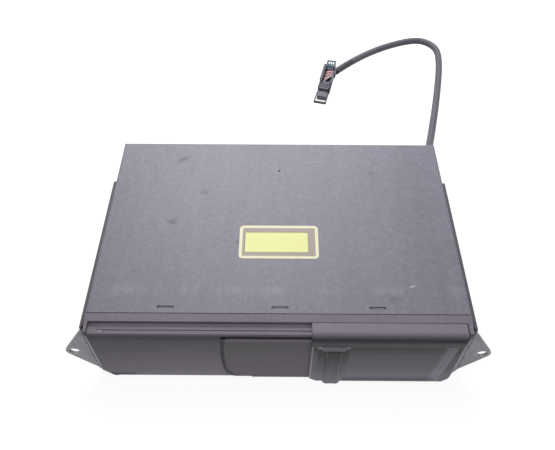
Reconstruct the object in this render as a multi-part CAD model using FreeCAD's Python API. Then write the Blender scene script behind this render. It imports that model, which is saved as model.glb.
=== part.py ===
# A six-disc car CD changer: a painted sheet-steel case with a moulded front, a sliding door in two
# leaves, a removable magazine of six trays, a lifting playback deck, two mounting brackets and a
# short fixed cable that ends in a lever-locked plug.
#
# Frame: millimetres, +Z up, +X to the right as seen from the front, +Y to the back. The origin is
# under the middle of the case, on the surface that the case stands on.
import FreeCAD
import Part

import math
import os

V = FreeCAD.Vector

# ---------------------------------------------------------------- overall sizes
case_width = 255.0
cover_depth = 160.0
face_reach = 15.5        # front face of the bezel, ahead of the cover's front edge
grip_reach = 21.0        # crest of the door's grip, ahead of the cover's front edge
sheet = 1.0              # steel sheet of the cover, the chassis and the inner frames
sheet_gap = 0.2          # between two sheets that overlap
slide_gap = 0.2          # between a moulding and the rail that it slides on
seat_gap = 0.3           # between a loose piece and what carries it
bore_gap = 0.06          # radial running clearance on pins, studs and rods
screw_head_height = 1.6  # of the small screws, which stand out of the rear

# the case is as tall as its stack of trays asks
tray_thickness = 2.2
tray_pitch = 6.5
tray_count = 6
first_tray_z = 16.0      # underside of the lowest tray
headroom = 14.3          # from the top tray's upper face to the case's top
lift_travel = (tray_count - 1) * tray_pitch
top_tray_z = first_tray_z + lift_travel
case_height = top_tray_z + tray_thickness + headroom

y_front = -(cover_depth + grip_reach + screw_head_height) / 2
y_rear = y_front + grip_reach + cover_depth
y_seam = y_front + grip_reach          # the cover's front edge
y_face = y_seam - face_reach
x_case = case_width / 2

# ---------------------------------------------------------------- steel case
cover_skirt = 2.0        # height of the cover's lower edge
cover_bend = 1.6         # outer radius of the cover's bends
rear_flange = 12.0       # the cover's flange down over the rear wall
slot_length, slot_width = 10.0, 1.4    # slots that the bezel's hooks snap into
slot_back = 4.5          # from the cover's front edge to the slots' middle
slot_places = (-75.0, 1.2, 65.8)
label_width, label_depth = 56.8, 29.5
label_back = 44.0        # from the cover's front edge to the label
label_corner, label_film = 3.0, 0.15
locating_hole_radius = 0.8
locating_hole_back = 129.0
chassis_wall_height = 46.0
front_wall_top = case_height - 3.0
floor_bead_radius = 2.5
x_chassis = x_case - sheet - sheet_gap     # outer face of the chassis's side walls
y_rear_wall = y_rear - sheet - sheet_gap   # outer face of the chassis's rear wall
y_front_wall = y_seam + sheet_gap          # outer face of the chassis's front wall
wall_top = case_height - sheet - sheet_gap
cover_screw_places = (-95.0, 0.0, 95.0)
cover_screw_drop = 6.5

# ---------------------------------------------------------------- trays and magazine
disc_diameter = 120.0
disc_play = 0.8          # round the disc in its tray
tray_recess = 1.4
tray_rim = 1.4           # from the disc recess to the tray's ends
tray_margin = 2.0        # from the disc recess to the tray's front and rear edges
tray_travel = 112.0
tray_window_radius = 19.0
tray_window_width = 34.0     # the slot that the pickup reads through
tray_front_room = 7.5    # from the front wall back to the trays, less two sheets
magazine_side_room = 5.4 # from the magazine to the case's side
magazine_wall = 1.6
ledge = 1.2              # thickness of the ledges that part the trays
ledge_reach = 4.0        # how far a ledge goes under a tray
guide_wall = 1.5
eject_travel = 14.0
button_travel = 4.0

recess_radius = disc_diameter / 2 + disc_play
disc_y = y_front_wall + tray_front_room + 2 * sheet + tray_margin + recess_radius
magazine_x1 = x_case - magazine_side_room
tray_length = 2 * (recess_radius + tray_rim)
tray_x1 = magazine_x1 - 2 * seat_gap - magazine_wall
tray_x0 = tray_x1 - tray_length
magazine_x0 = tray_x0 - 0.5
disc_x = tray_x0 + tray_length / 2
tray_y0 = disc_y - recess_radius - tray_margin
tray_y1 = disc_y + recess_radius + tray_margin
magazine_front_y = y_seam
magazine_rear_y = tray_y1 + 5.7
magazine_z0 = first_tray_z - ledge - magazine_wall
magazine_z1 = top_tray_z + tray_thickness + 1.8 + magazine_wall

# ---------------------------------------------------------------- bay that guides the magazine
bay_floor_z = magazine_z0 - seat_gap
bay_x0 = magazine_x0 - 2 * seat_gap - sheet
bay_x1 = magazine_x1 + seat_gap + sheet
bay_y0, bay_y1 = y_front_wall + sheet + 0.5, magazine_rear_y + 1.0
bay_roof_width = 24.0
bay_lip_z = first_tray_z - 1.0

# ---------------------------------------------------------------- playback deck and its lift
spindle_x = disc_x - tray_travel
deck_z = 10.8            # underside of the deck plate at its lowest
deck_sheet = 1.2
frame_x0, frame_x1 = sheet + 0.3 - x_chassis, bay_x0 - 3.8
deck_x0, deck_x1 = frame_x0 + 2.5, frame_x1 - 0.2
deck_inset = 1.4         # from a tray's edge to the deck's flange, towards the disc
deck_flange_z = 5.0
pin_radius = 1.5
pin_z = 8.5
pin_places = (deck_x0 + lift_travel + 2.5, deck_x0 + lift_travel + 42.5)
pin_slot_gap = 0.15      # round a pin in its slots
damper_radius, damper_neck, damper_pin = 5.0, 3.0, 1.5
frame_top = case_height - 5.0
plate_gap = 0.7          # from a tray's edge to the frame's plates
slider_gap = 0.4         # between the frame's plates and the slider's
slider_sheet = 1.5
slider_x0, slider_x1 = frame_x0 + 0.1, pin_places[1] + 4.5
slider_z0 = sheet + 0.3
slider_z1 = pin_z + lift_travel + 4.8
slider_strip = (pin_places[0] - 4.5, pin_places[0] + 15.5)   # joins the slider's two plates
frame_base_z = slider_z0 + sheet + 0.3
y_plate_front = tray_y0 - plate_gap          # inner face of the frame's front plate
y_plate_rear = tray_y1 + plate_gap           # inner face of the frame's rear plate
y_slider_front = y_plate_front - sheet - slider_gap   # inner face of the slider's front plate
y_slider_rear = y_plate_rear + sheet + slider_gap     # inner face of the slider's rear plate
deck_y0, deck_y1 = tray_y0 + deck_inset, tray_y1 - deck_inset

pickup_half_x = 8.5
pickup_inner, pickup_travel = 23.0, 32.0     # the lens's nearest place to the spindle, and its run
rod_radius = 1.5
rod_offset = 24.0        # rod and screw from the spindle's line
rod_z = 8.6
turntable_radius = 14.0
spindle_motor_radius = 11.0
lens_top = first_tray_z - 0.8
clamp_pivot_x, clamp_pivot_z = deck_x0 + 3.2, 20.8
clamp_pin_radius = 0.9
clamp_half_y = 33.0
clamp_sheet = 0.8
clamp_puck_radius = 14.0

# ---------------------------------------------------------------- gears
module = 0.8
pressure_angle = math.radians(25)
addendum, dedendum = 0.8, 1.15       # in modules
backlash = 0.16                      # taken off a tooth's width at the pitch line
pinion_teeth, wheel_teeth = 10, 26
gear_width = 1.8
gear_gap = 0.4                       # between gears on neighbouring levels
stud_radius = 1.4
rack_gear_x = pin_places[0] + 17.5
first_mesh_angle = -25.0             # from the rack gear to the middle gear, degrees from +X to +Z
motor_mesh_angle = -70.0             # from the middle gear to the motor
motor_radius, motor_length = 12.2, 12.3

# ---------------------------------------------------------------- bezel, leaf and door
bezel_wall = 2.0
bezel_gap = 0.3                      # the seam between cover and bezel
bezel_bottom = 0.8
bezel_top = case_height - 0.3
bezel_half_rear, bezel_half_front = x_case - 0.3, x_case - 1.3
bezel_chamfer_x, bezel_chamfer_z = 7.0, 9.0
rail_drop = 2.5                      # from the bezel's top to its two rails
strip_width = 6.3                    # the flat strip behind the rails
hook_groove = 2.6
line_groove = 0.8                    # the narrow groove between the rails
line_groove_back = 11.4              # its middle, ahead of the seam
groove_depth = 1.4
line_groove_x0 = 12.5 - x_case
bezel_edge = 1.2                     # bevel round the bezel's front
rail_x0 = 3.0 - x_case               # left end of the rails and grooves; their right end is the mouth's
tab_x0, tab_x1 = rail_x0 + 5.0, rail_x0 + 22.5   # the shallow pocket at the bezel's lower left
tab_z0, tab_z1 = 3.2, 8.6
tab_depth = 0.5
door_x0, door_x1 = x_case - 105.5, x_case - 4.7
door_skin = 2.0
door_lip = 1.3
door_roll = 6.0                      # outer radius where the lip turns down into the door's face
door_roll_inside = 2.9
door_end_bevel = 1.5                 # up the right edge of the door's face
lip_x1 = door_x1 - 7.8               # right end of the hook along the door's lower edge
grip_x0, grip_x1 = door_x0 + 10.3, door_x0 + 21.4   # the raised rib that a finger pushes
grip_ledge_x0, grip_ledge_x1 = door_x0 + 4.5, door_x0 + 25.3   # the ledge that it flares into at its top
grip_top = 54.5
grip_slope = 4.2                     # from the ledge's top down to its crest, over the finger hollow
grip_crest_x0, grip_crest_x1 = door_x0 + 8.4, door_x0 + 21.7
grip_undercut = 0.9                  # from the ledge's crest down to the hollow's deepest
hollow_floor = 0.15                  # from the door's face to the hollow at its deepest
panel_x1_low, panel_x1_high = door_x1 - 9.8, door_x1 - 5.3   # the panel's right end, foot and top
panel_z0 = 4.0
panel_depth = 0.9
panel_bevel = 3.0                    # width of the slope along the panel's right end
leaf_x0, leaf_x1 = door_x0 - 61.0, door_x0 + 39.0
leaf_z0, leaf_z1 = 3.4, case_height - 5.0
leaf_sheet = 1.0
leaf_corner = 10.0
leaf_bow = 220.0                     # radius of the leaf's bowed left edge
leaf_margin = 1.5                    # the thin margin round the leaf's raised middle
leaf_margin_depth = 0.55
leaf_gap = 0.15                      # the leaf's play, before and behind
hook_length = 18.0
mouth_margin = 3.0                   # the mouth's edges from the magazine's top and bottom
mouth_corner = 2.5
mouth_x0 = leaf_x1 - hook_length - (leaf_x0 - line_groove_x0) - mouth_corner - 0.5
mouth_x1 = magazine_x1 + 1.5

rail_z = bezel_top - rail_drop
y_strip = y_seam - strip_width       # front face of the strip behind the rails
door_travel = door_x0 - line_groove_x0
leaf_travel = leaf_x0 - line_groove_x0
mouth_z0, mouth_z1 = magazine_z0 - mouth_margin, magazine_z1 + mouth_margin
y_leaf = y_face - leaf_gap           # back of the leaf
y_door = y_leaf - leaf_sheet - leaf_gap   # back of the door's skin
y_door_face = y_door - door_skin

# ---------------------------------------------------------------- eject button and its levers
button_x0, button_x1 = bay_x0 - 6.9, bay_x0 - 0.6
button_z0, button_z1 = 23.0, 39.0
button_gap = 0.3
fascia_x0, fascia_x1 = leaf_x0 + 2.0, magazine_x0 - 0.8
fascia_reach = 9.5                   # front of the fascia, ahead of the seam
fascia_sheet = 1.6
bar_x0, bar_x1 = bay_x0 - 2.5, bay_x0 - 0.5
bar_z0, bar_z1 = 5.0, 9.0
kick_ratio = eject_travel / button_travel
kick_short = 12.0                    # lever's short arm, from its pivot to the bar's line
kick_long = kick_short * kick_ratio
kick_z0, kick_z1 = 6.0, 8.0
kick_tip_radius = 1.5

# ---------------------------------------------------------------- brackets
bracket_sheet = 2.0
bracket_bend = 2.6                   # outer radius of the bend into the ear
bracket_z0, bracket_z1 = 2.5, 63.5
bracket_rear_y = y_seam + 121.0
bracket_corner = 5.0
ear_reach = 10.7                     # front face of the ears, ahead of the cover's front edge
ear_tip_x = x_case + 19.5
ear_hole_x, ear_hole_z = x_case + 13.5, 30.0
ear_hole_radius = 3.75
bracket_screw_places = ((y_seam + 33.5, 33.0), (y_seam + 101.5, 33.0))   # (y, z)

# ---------------------------------------------------------------- screws
small_screw = {"shank": 1.5, "head": 2.8, "head_height": screw_head_height}
bracket_screw = {"shank": 2.0, "head": 4.0, "head_height": 2.2}
screw_gap = 0.05                     # radial, between a shank and its hole

# ---------------------------------------------------------------- control board
board_x0, board_x1 = bay_x0 + 20.6, bay_x1 - 9.4   # between the bay's feet
board_y0, board_y1 = y_seam + 13.5, y_seam + 115.5
board_z, board_sheet = 3.6, 1.6
board_post_inset = 4.0

# ---------------------------------------------------------------- cable and plug
cable_diameter = 7.0
grommet_radius = 6.0
grommet_flange = 1.2
grommet_reach = 6.0                  # how far the grommet stands out of the rear wall
cable_x, cable_z = x_case - 10.0, 38.0    # where the cable leaves
lying = cable_diameter / 2 + 0.1     # height of a cable that lies on the ground
cable_points = [(cable_x + across, y_rear_wall + back, z) for across, back, z in (
    (0.0, -5.3, cable_z), (2.0, 15.7, cable_z), (18.0, 33.7, 22.0), (27.0, 59.7, lying + 0.1),
    (45.5, 130.7, lying), (61.0, 203.7, lying), (58.0, 228.7, lying), (36.0, 240.7, lying),
    (-25.5, 210.7, lying), (-56.5, 178.7, lying),
)]
plug_end = V(cable_x - 60.0, y_rear_wall + 192.2, 0.4)   # middle of the plug's wire end
plug_turn = -103.5                   # the way that the plug points, degrees from +X
plug_width, plug_height = 15.0, 12.0


# ================================================================ making shapes
def block(x0, x1, y0, y1, z0, z1):
    return Part.makeBox(x1 - x0, y1 - y0, z1 - z0, V(x0, y0, z0))


def bar(radius, start, end):
    return Part.makeCylinder(radius, (end - start).Length, start, end - start)


def stud(radius, start, end, sides=8):
    """A short bar with a few flats, for small parts that repeat."""
    along = end - start
    ring = Part.makePolygon([V(radius * math.cos(2 * math.pi * k / sides),
                               radius * math.sin(2 * math.pi * k / sides), 0)
                             for k in range(sides + 1)])
    solid = Part.Face(ring).extrude(V(0, 0, along.Length))
    solid.Placement = FreeCAD.Placement(start, FreeCAD.Rotation(V(0, 0, 1), along))
    return solid


def prism(corners, depth):
    """A solid from a flat outline of corner points, swept along depth."""
    return Part.Face(Part.makePolygon(corners + [corners[0]])).extrude(depth)


def joined(shapes):
    first, rest = shapes[0], shapes[1:]
    return (first.fuse(rest) if rest else first).removeSplitter()


def group(shapes):
    return Part.makeCompound(shapes)


def rounded(shape, radius, wanted):
    """Round the edges that wanted(bounding box) picks."""
    edges = [edge for edge in shape.Edges if wanted(edge.BoundBox)]
    return shape.makeFillet(radius, edges)


def bevelled(shape, size, wanted):
    """Cut the corners that wanted(bounding box) picks."""
    return shape.makeChamfer(size, [edge for edge in shape.Edges if wanted(edge.BoundBox)])


def near(value, target):
    return abs(value - target) < 0.01


def runs_x(box):
    return box.XLength > 0.01 and box.YLength < 0.01 and box.ZLength < 0.01


def runs_y(box):
    return box.YLength > 0.01 and box.XLength < 0.01 and box.ZLength < 0.01


def runs_z(box):
    return box.ZLength > 0.01 and box.XLength < 0.01 and box.YLength < 0.01


def slot_cutter(x, y, length, width, z0, z1):
    """A round-ended slot that runs along X."""
    half = (length - width) / 2
    ends = [bar(width / 2, V(x + side * half, y, z0), V(x + side * half, y, z1)) for side in (-1, 1)]
    return joined([block(x - half, x + half, y - width / 2, y + width / 2, z0, z1)] + ends)


# ================================================================ steel case
def make_top_cover():
    """One sheet bent over the top and both sides, with a flange down the back."""
    def bend(box):
        top = near(box.ZMin, case_height) or near(box.ZMin, case_height - sheet)
        long_side = runs_y(box) and (abs(abs(box.XMin) - x_case) < sheet + 0.1)
        back = runs_x(box) and box.YMin > y_rear - sheet - 0.1
        return top and (long_side or back)

    outer = block(-x_case, x_case, y_seam, y_rear, cover_skirt, case_height)
    outer = rounded(outer, cover_bend, bend)
    inner = block(sheet - x_case, x_case - sheet, y_seam - sheet, y_rear - sheet,
                  cover_skirt - sheet, case_height - sheet)
    inner = rounded(inner, cover_bend - sheet, bend)
    cover = outer.cut(inner)
    flange_z = case_height - rear_flange
    relief_x = x_case - sheet - 0.8
    cuts = [block(-x_case, x_case, y_rear - sheet, y_rear + sheet, 0, flange_z)]
    for side in (-1, 1):
        x0, x1 = sorted((side * relief_x, side * (x_case + sheet)))
        cuts.append(block(x0, x1, y_rear - sheet - 0.8, y_rear + sheet, 0, case_height - 2 * sheet))
    for x in slot_places:
        cuts.append(slot_cutter(x, y_seam + slot_back, slot_length, slot_width,
                                case_height - 2 * sheet, case_height + sheet))
    hole_y = y_seam + locating_hole_back
    cuts.append(bar(locating_hole_radius, V(0, hole_y, case_height - 2 * sheet),
                    V(0, hole_y, case_height + sheet)))
    for x in cover_screw_places:
        cuts.append(cover_screw_line(x, small_screw["shank"] + screw_gap))
    cuts += bracket_screw_lines(bracket_screw["shank"] + screw_gap)
    return cover.cut(cuts)


def cover_screw_line(x, radius):
    z = case_height - cover_screw_drop
    return bar(radius, V(x, y_rear - 5, z), V(x, y_rear + 5, z))


def bracket_screw_lines(radius):
    lines = []
    for side in (-1, 1):
        for y, z in bracket_screw_places:
            lines.append(bar(radius, V(side * (x_case - 8), y, z), V(side * (x_case + 8), y, z)))
    return lines


def make_chassis():
    """The tray of sheet steel that everything inside stands on."""
    x, y0, y1 = x_chassis, y_front_wall, y_rear_wall
    floor = rounded(block(-x, x, y0, y1, 0, 2 * sheet), sheet * 0.8,
                    lambda box: near(box.ZMax, 0) and runs_x(box))
    shell = [floor.cut(block(sheet - x, x - sheet, y0 + sheet, y1 - sheet, sheet, 3 * sheet))]
    for side in (-1, 1):
        x0, x1 = sorted((side * x, side * (x - sheet)))
        shell.append(block(x0, x1, y0 + 2 * sheet, y1 - 2 * sheet, 2 * sheet, chassis_wall_height))
    shell.append(block(-x + 2 * sheet, x - 2 * sheet, y1 - sheet, y1, 2 * sheet, wall_top))
    shell.append(block(-x + 2 * sheet, x - 2 * sheet, y0, y0 + sheet, 2 * sheet, front_wall_top))
    for side in (-1, 1):
        for y, z in bracket_screw_places:
            shell.append(stud(bracket_screw["shank"] + 1.4, V(side * (x - sheet), y, z),
                              V(side * (bay_x1 + 0.1), y, z)))
    for bx, by in board_post_places():
        shell.append(stud(3.0, V(bx, by, sheet), V(bx, by, board_z)))
    for dx, dy in damper_places():
        shell.append(stud(damper_pin, V(dx, dy, sheet), V(dx, dy, frame_base_z + sheet + 1.2)))
    bead_z = sheet - floor_bead_radius * 0.6
    beads = [(-82.0, -14.0, y0 + sheet + 2.4), (-100.0, 100.0, y1 - 11.0)]
    for bx0, bx1, by in beads:
        shell.append(bar(floor_bead_radius, V(bx0, by, bead_z), V(bx1, by, bead_z)))
    chassis = joined(shell)
    cuts = [block(-2 * x, 2 * x, y0 - 9, y1 + 9, -9, 0)]
    for bx0, bx1, by in beads:
        cuts.append(bar(floor_bead_radius - sheet, V(bx0 + sheet, by, bead_z),
                        V(bx1 - sheet, by, bead_z)))
    window = block(button_x0 - 1.5, mouth_x1 - 0.1, y0 - 1, y0 + 2 * sheet,
                   magazine_z0 - 2.2, magazine_z1 + 2.8)
    cuts.append(rounded(window, 2.0, runs_y))
    cuts.append(block(bar_x0 - 0.8, bar_x1 + 0.8, y0 - 1, y0 + 2 * sheet,
                      bar_z0 - 0.6, magazine_z0))
    for hook_x in bezel_hook_places():
        cuts.append(block(hook_x - 5.4, hook_x + 5.4, y0 - 1, y0 + 2 * sheet, sheet, 2.9 * sheet))
    cuts.append(bar(grommet_radius + screw_gap, V(cable_x, y1 - 5, cable_z),
                    V(cable_x, y1 + 5, cable_z)))
    for sx in cover_screw_places:
        cuts.append(cover_screw_line(sx, small_screw["shank"] + screw_gap))
    cuts += bracket_screw_lines(bracket_screw["shank"] + screw_gap)
    return chassis.cut(cuts)


def board_post_places():
    inset = board_post_inset
    return [(x, y) for x in (board_x0 + inset, board_x1 - inset)
            for y in (board_y0 + inset, board_y1 - inset)]


def damper_places():
    return [(x, y) for x in (frame_x0 + 7, frame_x1 - 7)
            for y in (y_plate_front + 9, y_plate_rear - 9)]


def bezel_hook_places():
    return (32.5 - x_case, bay_x0 + 26.6, x_case - 32.5)


def make_cover_screws():
    screws = []
    for x in cover_screw_places:
        z = case_height - cover_screw_drop
        shank = stud(small_screw["shank"], V(x, y_rear_wall - sheet - 2.5, z), V(x, y_rear, z))
        screws.append(joined([shank, pan_head(V(x, y_rear, z), V(0, 1, 0), small_screw)]))
    return group(screws)


def pan_head(seat, outward, size):
    """A screw head, a little smaller at its top, standing on seat."""
    rings = []
    for radius, height in ((size["head"], 0), (size["head"] * 0.8, size["head_height"])):
        ring = Part.makePolygon([V(radius * math.cos(math.pi * k / 6), radius * math.sin(math.pi * k / 6),
                                   height) for k in range(13)])
        ring.Placement = FreeCAD.Placement(seat, FreeCAD.Rotation(V(0, 0, 1), outward))
        rings.append(ring)
    return Part.makeLoft(rings, True, True)


# ================================================================ mounting brackets
def make_bracket(side):
    """A flat side plate that bends out at the front into a triangular ear with one hole."""
    x_in, x_out = x_case, x_case + bracket_sheet
    y0 = y_seam - ear_reach
    side_plate = block(x_in, x_out, y0, bracket_rear_y, bracket_z0, bracket_z1)
    side_plate = rounded(side_plate, bracket_corner,
                         lambda box: runs_x(box) and near(box.YMin, bracket_rear_y))
    tip = ear_tip_x - ear_hole_x                      # the ear's rounded tip is centred on the hole
    hole = V(ear_hole_x, y0, ear_hole_z)
    corner_low, corner_high = V(x_in, y0, bracket_z0), V(x_in, y0, bracket_z1)
    low, low_direction = tangent_point(corner_low, hole, tip, 1)
    high, high_direction = tangent_point(corner_high, hole, tip, -1)
    outline = [
        Part.makeLine(corner_high, corner_low), Part.makeLine(corner_low, low),
        Part.Arc(low, hole + V(tip, 0, 0), high).toShape(), Part.makeLine(high, corner_high),
    ]
    ear = Part.Face(Part.Wire(outline)).extrude(V(0, bracket_sheet, 0))
    plate = side_plate.fuse(ear).removeSplitter()
    plate = rounded(plate, bracket_bend, lambda box: runs_z(box) and near(box.XMin, x_in)
                    and near(box.YMin, y0))
    plate = plate.cut([bar(ear_hole_radius, hole - V(0, 5, 0), hole + V(0, 9, 0))]
                      + bracket_screw_lines(bracket_screw["shank"] + screw_gap))
    return plate if side > 0 else plate.mirror(V(0, 0, 0), V(1, 0, 0))


def tangent_point(start, centre, radius, turn):
    """Where a straight line from start touches a circle in the XZ plane."""
    dx, dz = centre.x - start.x, centre.z - start.z
    distance = math.hypot(dx, dz)
    angle = math.atan2(dz, dx) - turn * math.asin(radius / distance)
    reach = math.sqrt(distance ** 2 - radius ** 2)
    direction = V(math.cos(angle), 0, math.sin(angle))
    return start + direction * reach, direction


def make_bracket_screws():
    screws = []
    for side in (-1, 1):
        seat = side * (x_case + bracket_sheet)
        for y, z in bracket_screw_places:
            shank = stud(bracket_screw["shank"], V(side * (bay_x1 + 0.3), y, z), V(seat, y, z))
            head = pan_head(V(seat, y, z), V(side, 0, 0), bracket_screw)
            screws.append(joined([shank, head]))
    return group(screws)


# ================================================================ bezel
def bezel_section(y, half, inset=0.0):
    """The bezel's outline in a plane across Y: a rectangle with its lower corners cut off."""
    x, bottom, top = half - inset, bezel_bottom + inset, bezel_top - inset
    corners = [V(-x, y, top), V(-x, y, bottom + bezel_chamfer_z), V(bezel_chamfer_x - x, y, bottom),
               V(x - bezel_chamfer_x, y, bottom), V(x, y, bottom + bezel_chamfer_z), V(x, y, top)]
    return Part.makePolygon(corners + [corners[0]])


def make_bezel():
    y_back = y_seam - bezel_gap
    outside = Part.makeLoft([bezel_section(y_face, bezel_half_front, bezel_edge),
                             bezel_section(y_face + bezel_edge, bezel_half_front),
                             bezel_section(y_back, bezel_half_rear)], True, True)
    inside = Part.makeLoft([bezel_section(y_face + bezel_wall, bezel_half_front, bezel_wall),
                            bezel_section(y_back + 1, bezel_half_rear, bezel_wall)], True, True)
    roof_z = rail_z - groove_depth - bezel_wall * 0.7
    roof = block(-x_case, x_case, y_face, y_strip + bezel_wall * 0.7, roof_z, bezel_top)
    bezel = outside.cut(inside.cut(roof))
    cuts = [block(rail_x0, mouth_x1, y_face - 1, y_strip, rail_z, bezel_top + 1),
            block(rail_x0, mouth_x1, y_strip - hook_groove, y_strip, rail_z - groove_depth, bezel_top),
            block(line_groove_x0, mouth_x1, y_seam - line_groove_back - line_groove / 2,
                  y_seam - line_groove_back + line_groove / 2, rail_z - groove_depth, bezel_top)]
    mouth = block(mouth_x0, mouth_x1, y_face - 1, y_face + bezel_wall + 1, mouth_z0, mouth_z1)
    cuts.append(rounded(mouth, mouth_corner, runs_y))
    cuts.append(block(line_groove_x0 - 3.0, line_groove_x0, y_seam - line_groove_back - 1.3,
                      y_seam - line_groove_back + line_groove / 2, rail_z - groove_depth / 2, bezel_top))
    pocket = block(tab_x0, tab_x1, y_face - 1, y_face + tab_depth, tab_z0, tab_z1)
    cuts.append(rounded(pocket, 1.2, runs_y))
    lip_slot_x0 = line_groove_x0 - 0.5
    cuts.append(block(lip_slot_x0, mouth_x1, y_face - 1, y_face + bezel_wall + 3.2,
                      bezel_bottom - 1, bezel_bottom + bezel_wall))
    bezel = bezel.cut(cuts)
    added = []
    rib_x = line_groove_x0
    while rib_x < mouth_x1:
        added.append(bezel_rib(rib_x))
        rib_x += 29.0
    for x in slot_places:
        y = y_seam + slot_back
        tongue_z1 = case_height - sheet - sheet_gap
        added.append(block(x - 4.5, x + 4.5, y_back - 1.0, y + 1.6, tongue_z1 - 1.2, tongue_z1))
        added.append(block(x - 4.3, x + 4.3, y - 0.5, y + 0.5, tongue_z1 - 1.0, case_height - 0.4))
    for x in bezel_hook_places():
        added.append(block(x - 5.0, x + 5.0, y_back - 1.0, y_front_wall + sheet + 4.8,
                           sheet + 0.05, bezel_bottom + bezel_wall))
    bezel = joined([bezel] + added)
    notch = [block(x - 5.1, x + 5.1, y_back - 1.2, y_back + 1, 0, sheet + 0.05)
             for x in bezel_hook_places()]
    bezel = bezel.cut(notch)
    return bezel


def bezel_rib(x):
    """A gusset that ties the strip of wall under the mouth to the bezel's floor."""
    floor_z = bezel_bottom + bezel_wall - 0.1
    y0, y1 = y_face + bezel_wall - 0.1, y_seam - bezel_gap - 2.0
    step_y, step_z, top = y_face + bezel_wall + 3.4, bezel_bottom + 5.0, mouth_z0 - 2.2
    side = [V(x, y0, step_z), V(x, step_y, step_z), V(x, step_y, floor_z), V(x, y1, floor_z),
            V(x, y1, floor_z + 1.5), V(x, step_y + 3, top), V(x, y0, top)]
    return prism(side, V(1.2, 0, 0))


# ================================================================ door and leaf
def make_door():
    """The outer leaf: its lip rides in the bezel's groove and its lower edge hooks under the bezel."""
    top, bottom = bezel_top, bezel_bottom + 0.3
    lip_z = top - door_lip
    y_hook = y_strip - 0.4
    inside = door_roll_inside
    lower = bottom + 1.0
    outline = [
        V(0, y_hook, top), V(0, y_door_face + door_roll, top),
        arc_yz(y_door_face + door_roll, top - door_roll, door_roll, 90, 180),
        V(0, y_door_face, lower), V(0, y_door_face + 1.0, bottom),
        V(0, y_face + bezel_wall + 1.8, bottom), V(0, y_face + bezel_wall + 1.8, bottom + 3.4),
        V(0, y_face + bezel_wall + 0.8, bottom + 3.4), V(0, y_face + bezel_wall + 0.8, bottom + 0.9),
        V(0, y_door, bottom + 0.9), V(0, y_door, lip_z - inside),
        arc_yz(y_door + inside, lip_z - inside, inside, 180, 90),
        V(0, y_hook - 1.2, lip_z), V(0, y_hook - 1.2, rail_z - groove_depth + 0.3),
        V(0, y_hook, rail_z - groove_depth + 0.3), V(0, y_hook, top),
    ]
    section = wire_through(outline)
    section.translate(V(door_x0, 0, 0))
    door = Part.Face(section).extrude(V(door_x1 - door_x0, 0, 0))
    line_y = y_seam - line_groove_back
    guide = block(door_x0, door_x0 + 30, line_y - 0.2, line_y + 0.2,
                  rail_z - groove_depth + 0.3, lip_z + 0.2)
    door = joined([door.cut(make_panel_cut()), guide, make_grip()])
    y0 = y_door_face - 5
    corners = [
        prism([V(door_x1 - 7, y0, 0), V(door_x1 + 1, y0, 0), V(door_x1 + 1, y0, 11)], V(0, 25, 0)),
        prism([V(door_x0 - 1, y0, 0), V(door_x0 + 8, y0, 0), V(door_x0 - 1, y0, 7)], V(0, 25, 0)),
        prism([V(door_x1 - door_end_bevel, y_door_face, 0), V(door_x1, y_door_face + door_end_bevel, 0),
               V(door_x1 + 1, y_door_face, 0)], V(0, 0, case_height)),
    ]
    lip_end = block(lip_x1, door_x1 + 1, y_door + 0.01, y_strip, 0, bottom + 4.0)
    return door.cut(corners + [lip_end])


def make_panel_cut():
    """What is taken out of the door's face: a shallow panel with a wide slope at its right end."""
    left = [(grip_ledge_x1 + 1.6, grip_top), (grip_x1 + 3.4, grip_top - 8), (grip_x1 + 2.4, 32.0),
            (grip_x1 + 2.4, panel_z0)]
    right = [(panel_x1_low, panel_z0), (panel_x1_high, grip_top)]
    outer = left + right
    inner = [(left[0][0] + 1.2, grip_top - 1.2), (left[1][0] + 1.2, left[1][1]),
             (left[2][0] + 1.2, left[2][1]), (left[3][0] + 1.2, panel_z0 + 0.8),
             (panel_x1_low - panel_bevel, panel_z0 + 0.8), (panel_x1_high - panel_bevel, grip_top - 1.2)]
    rings = []
    for y, corners in ((y_door_face - 0.01, outer), (y_door_face + panel_depth, inner)):
        points = [V(x, y, z) for x, z in corners]
        rings.append(Part.makePolygon(points + [points[0]]))
    return Part.makeLoft(rings, True, True)


def make_grip():
    """A rib that swells toward its foot, flares into a ledge at its top, and is hollowed under it."""
    deepest = y_door_face - hollow_floor
    foot, crest_z = bezel_bottom + 1.4, grip_top - grip_slope
    # height, left and right end, width of each shoulder, Y of the crests, Y of the hollow's middle
    sections = [
        (foot, grip_x0 - 1.0, grip_x1 + 0.8, 3.4, y_front, y_front + 0.15),
        (11.0, grip_x0 - 0.4, grip_x1 + 0.4, 3.0, y_front + 0.2, y_front + 0.7),
        (26.0, grip_x0, grip_x1, 2.7, y_front + 0.4, y_front + 1.3),
        (40.0, grip_x0 - 0.2, grip_x1 + 0.2, 2.5, y_front + 0.5, deepest - 0.2),
        (crest_z - grip_undercut, grip_crest_x0, grip_crest_x1, 2.5, y_front + 0.3, deepest),
        (crest_z, grip_crest_x0 - 0.5, grip_crest_x1 + 0.5, 2.6, y_front + 0.05, y_front + 0.15),
        (grip_top, grip_ledge_x0, grip_ledge_x1, 3.2, y_door_face - 0.15, y_door_face - 0.1),
    ]
    return Part.makeLoft([grip_section(*section) for section in sections], True, True)


def grip_section(z, x0, x1, shoulder, crest, hollow):
    """Across the grip: a rounded shoulder at each side with a hollow between them."""
    base = y_door_face + 0.4
    rise = crest - base
    points = [V(x0, base, z), V(x0 + shoulder, crest, z), V(x1 - shoulder, crest, z), V(x1, base, z)]
    middles = [V(x0 + shoulder * 0.32, base + rise * 0.68, z), V((x0 + x1) / 2, hollow, z),
               V(x1 - shoulder * 0.32, base + rise * 0.68, z)]
    arcs = [Part.Arc(start, middle, end).toShape()
            for start, middle, end in zip(points, middles, points[1:])]
    return Part.Wire(arcs + [Part.makeLine(points[3], points[0])])


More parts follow.
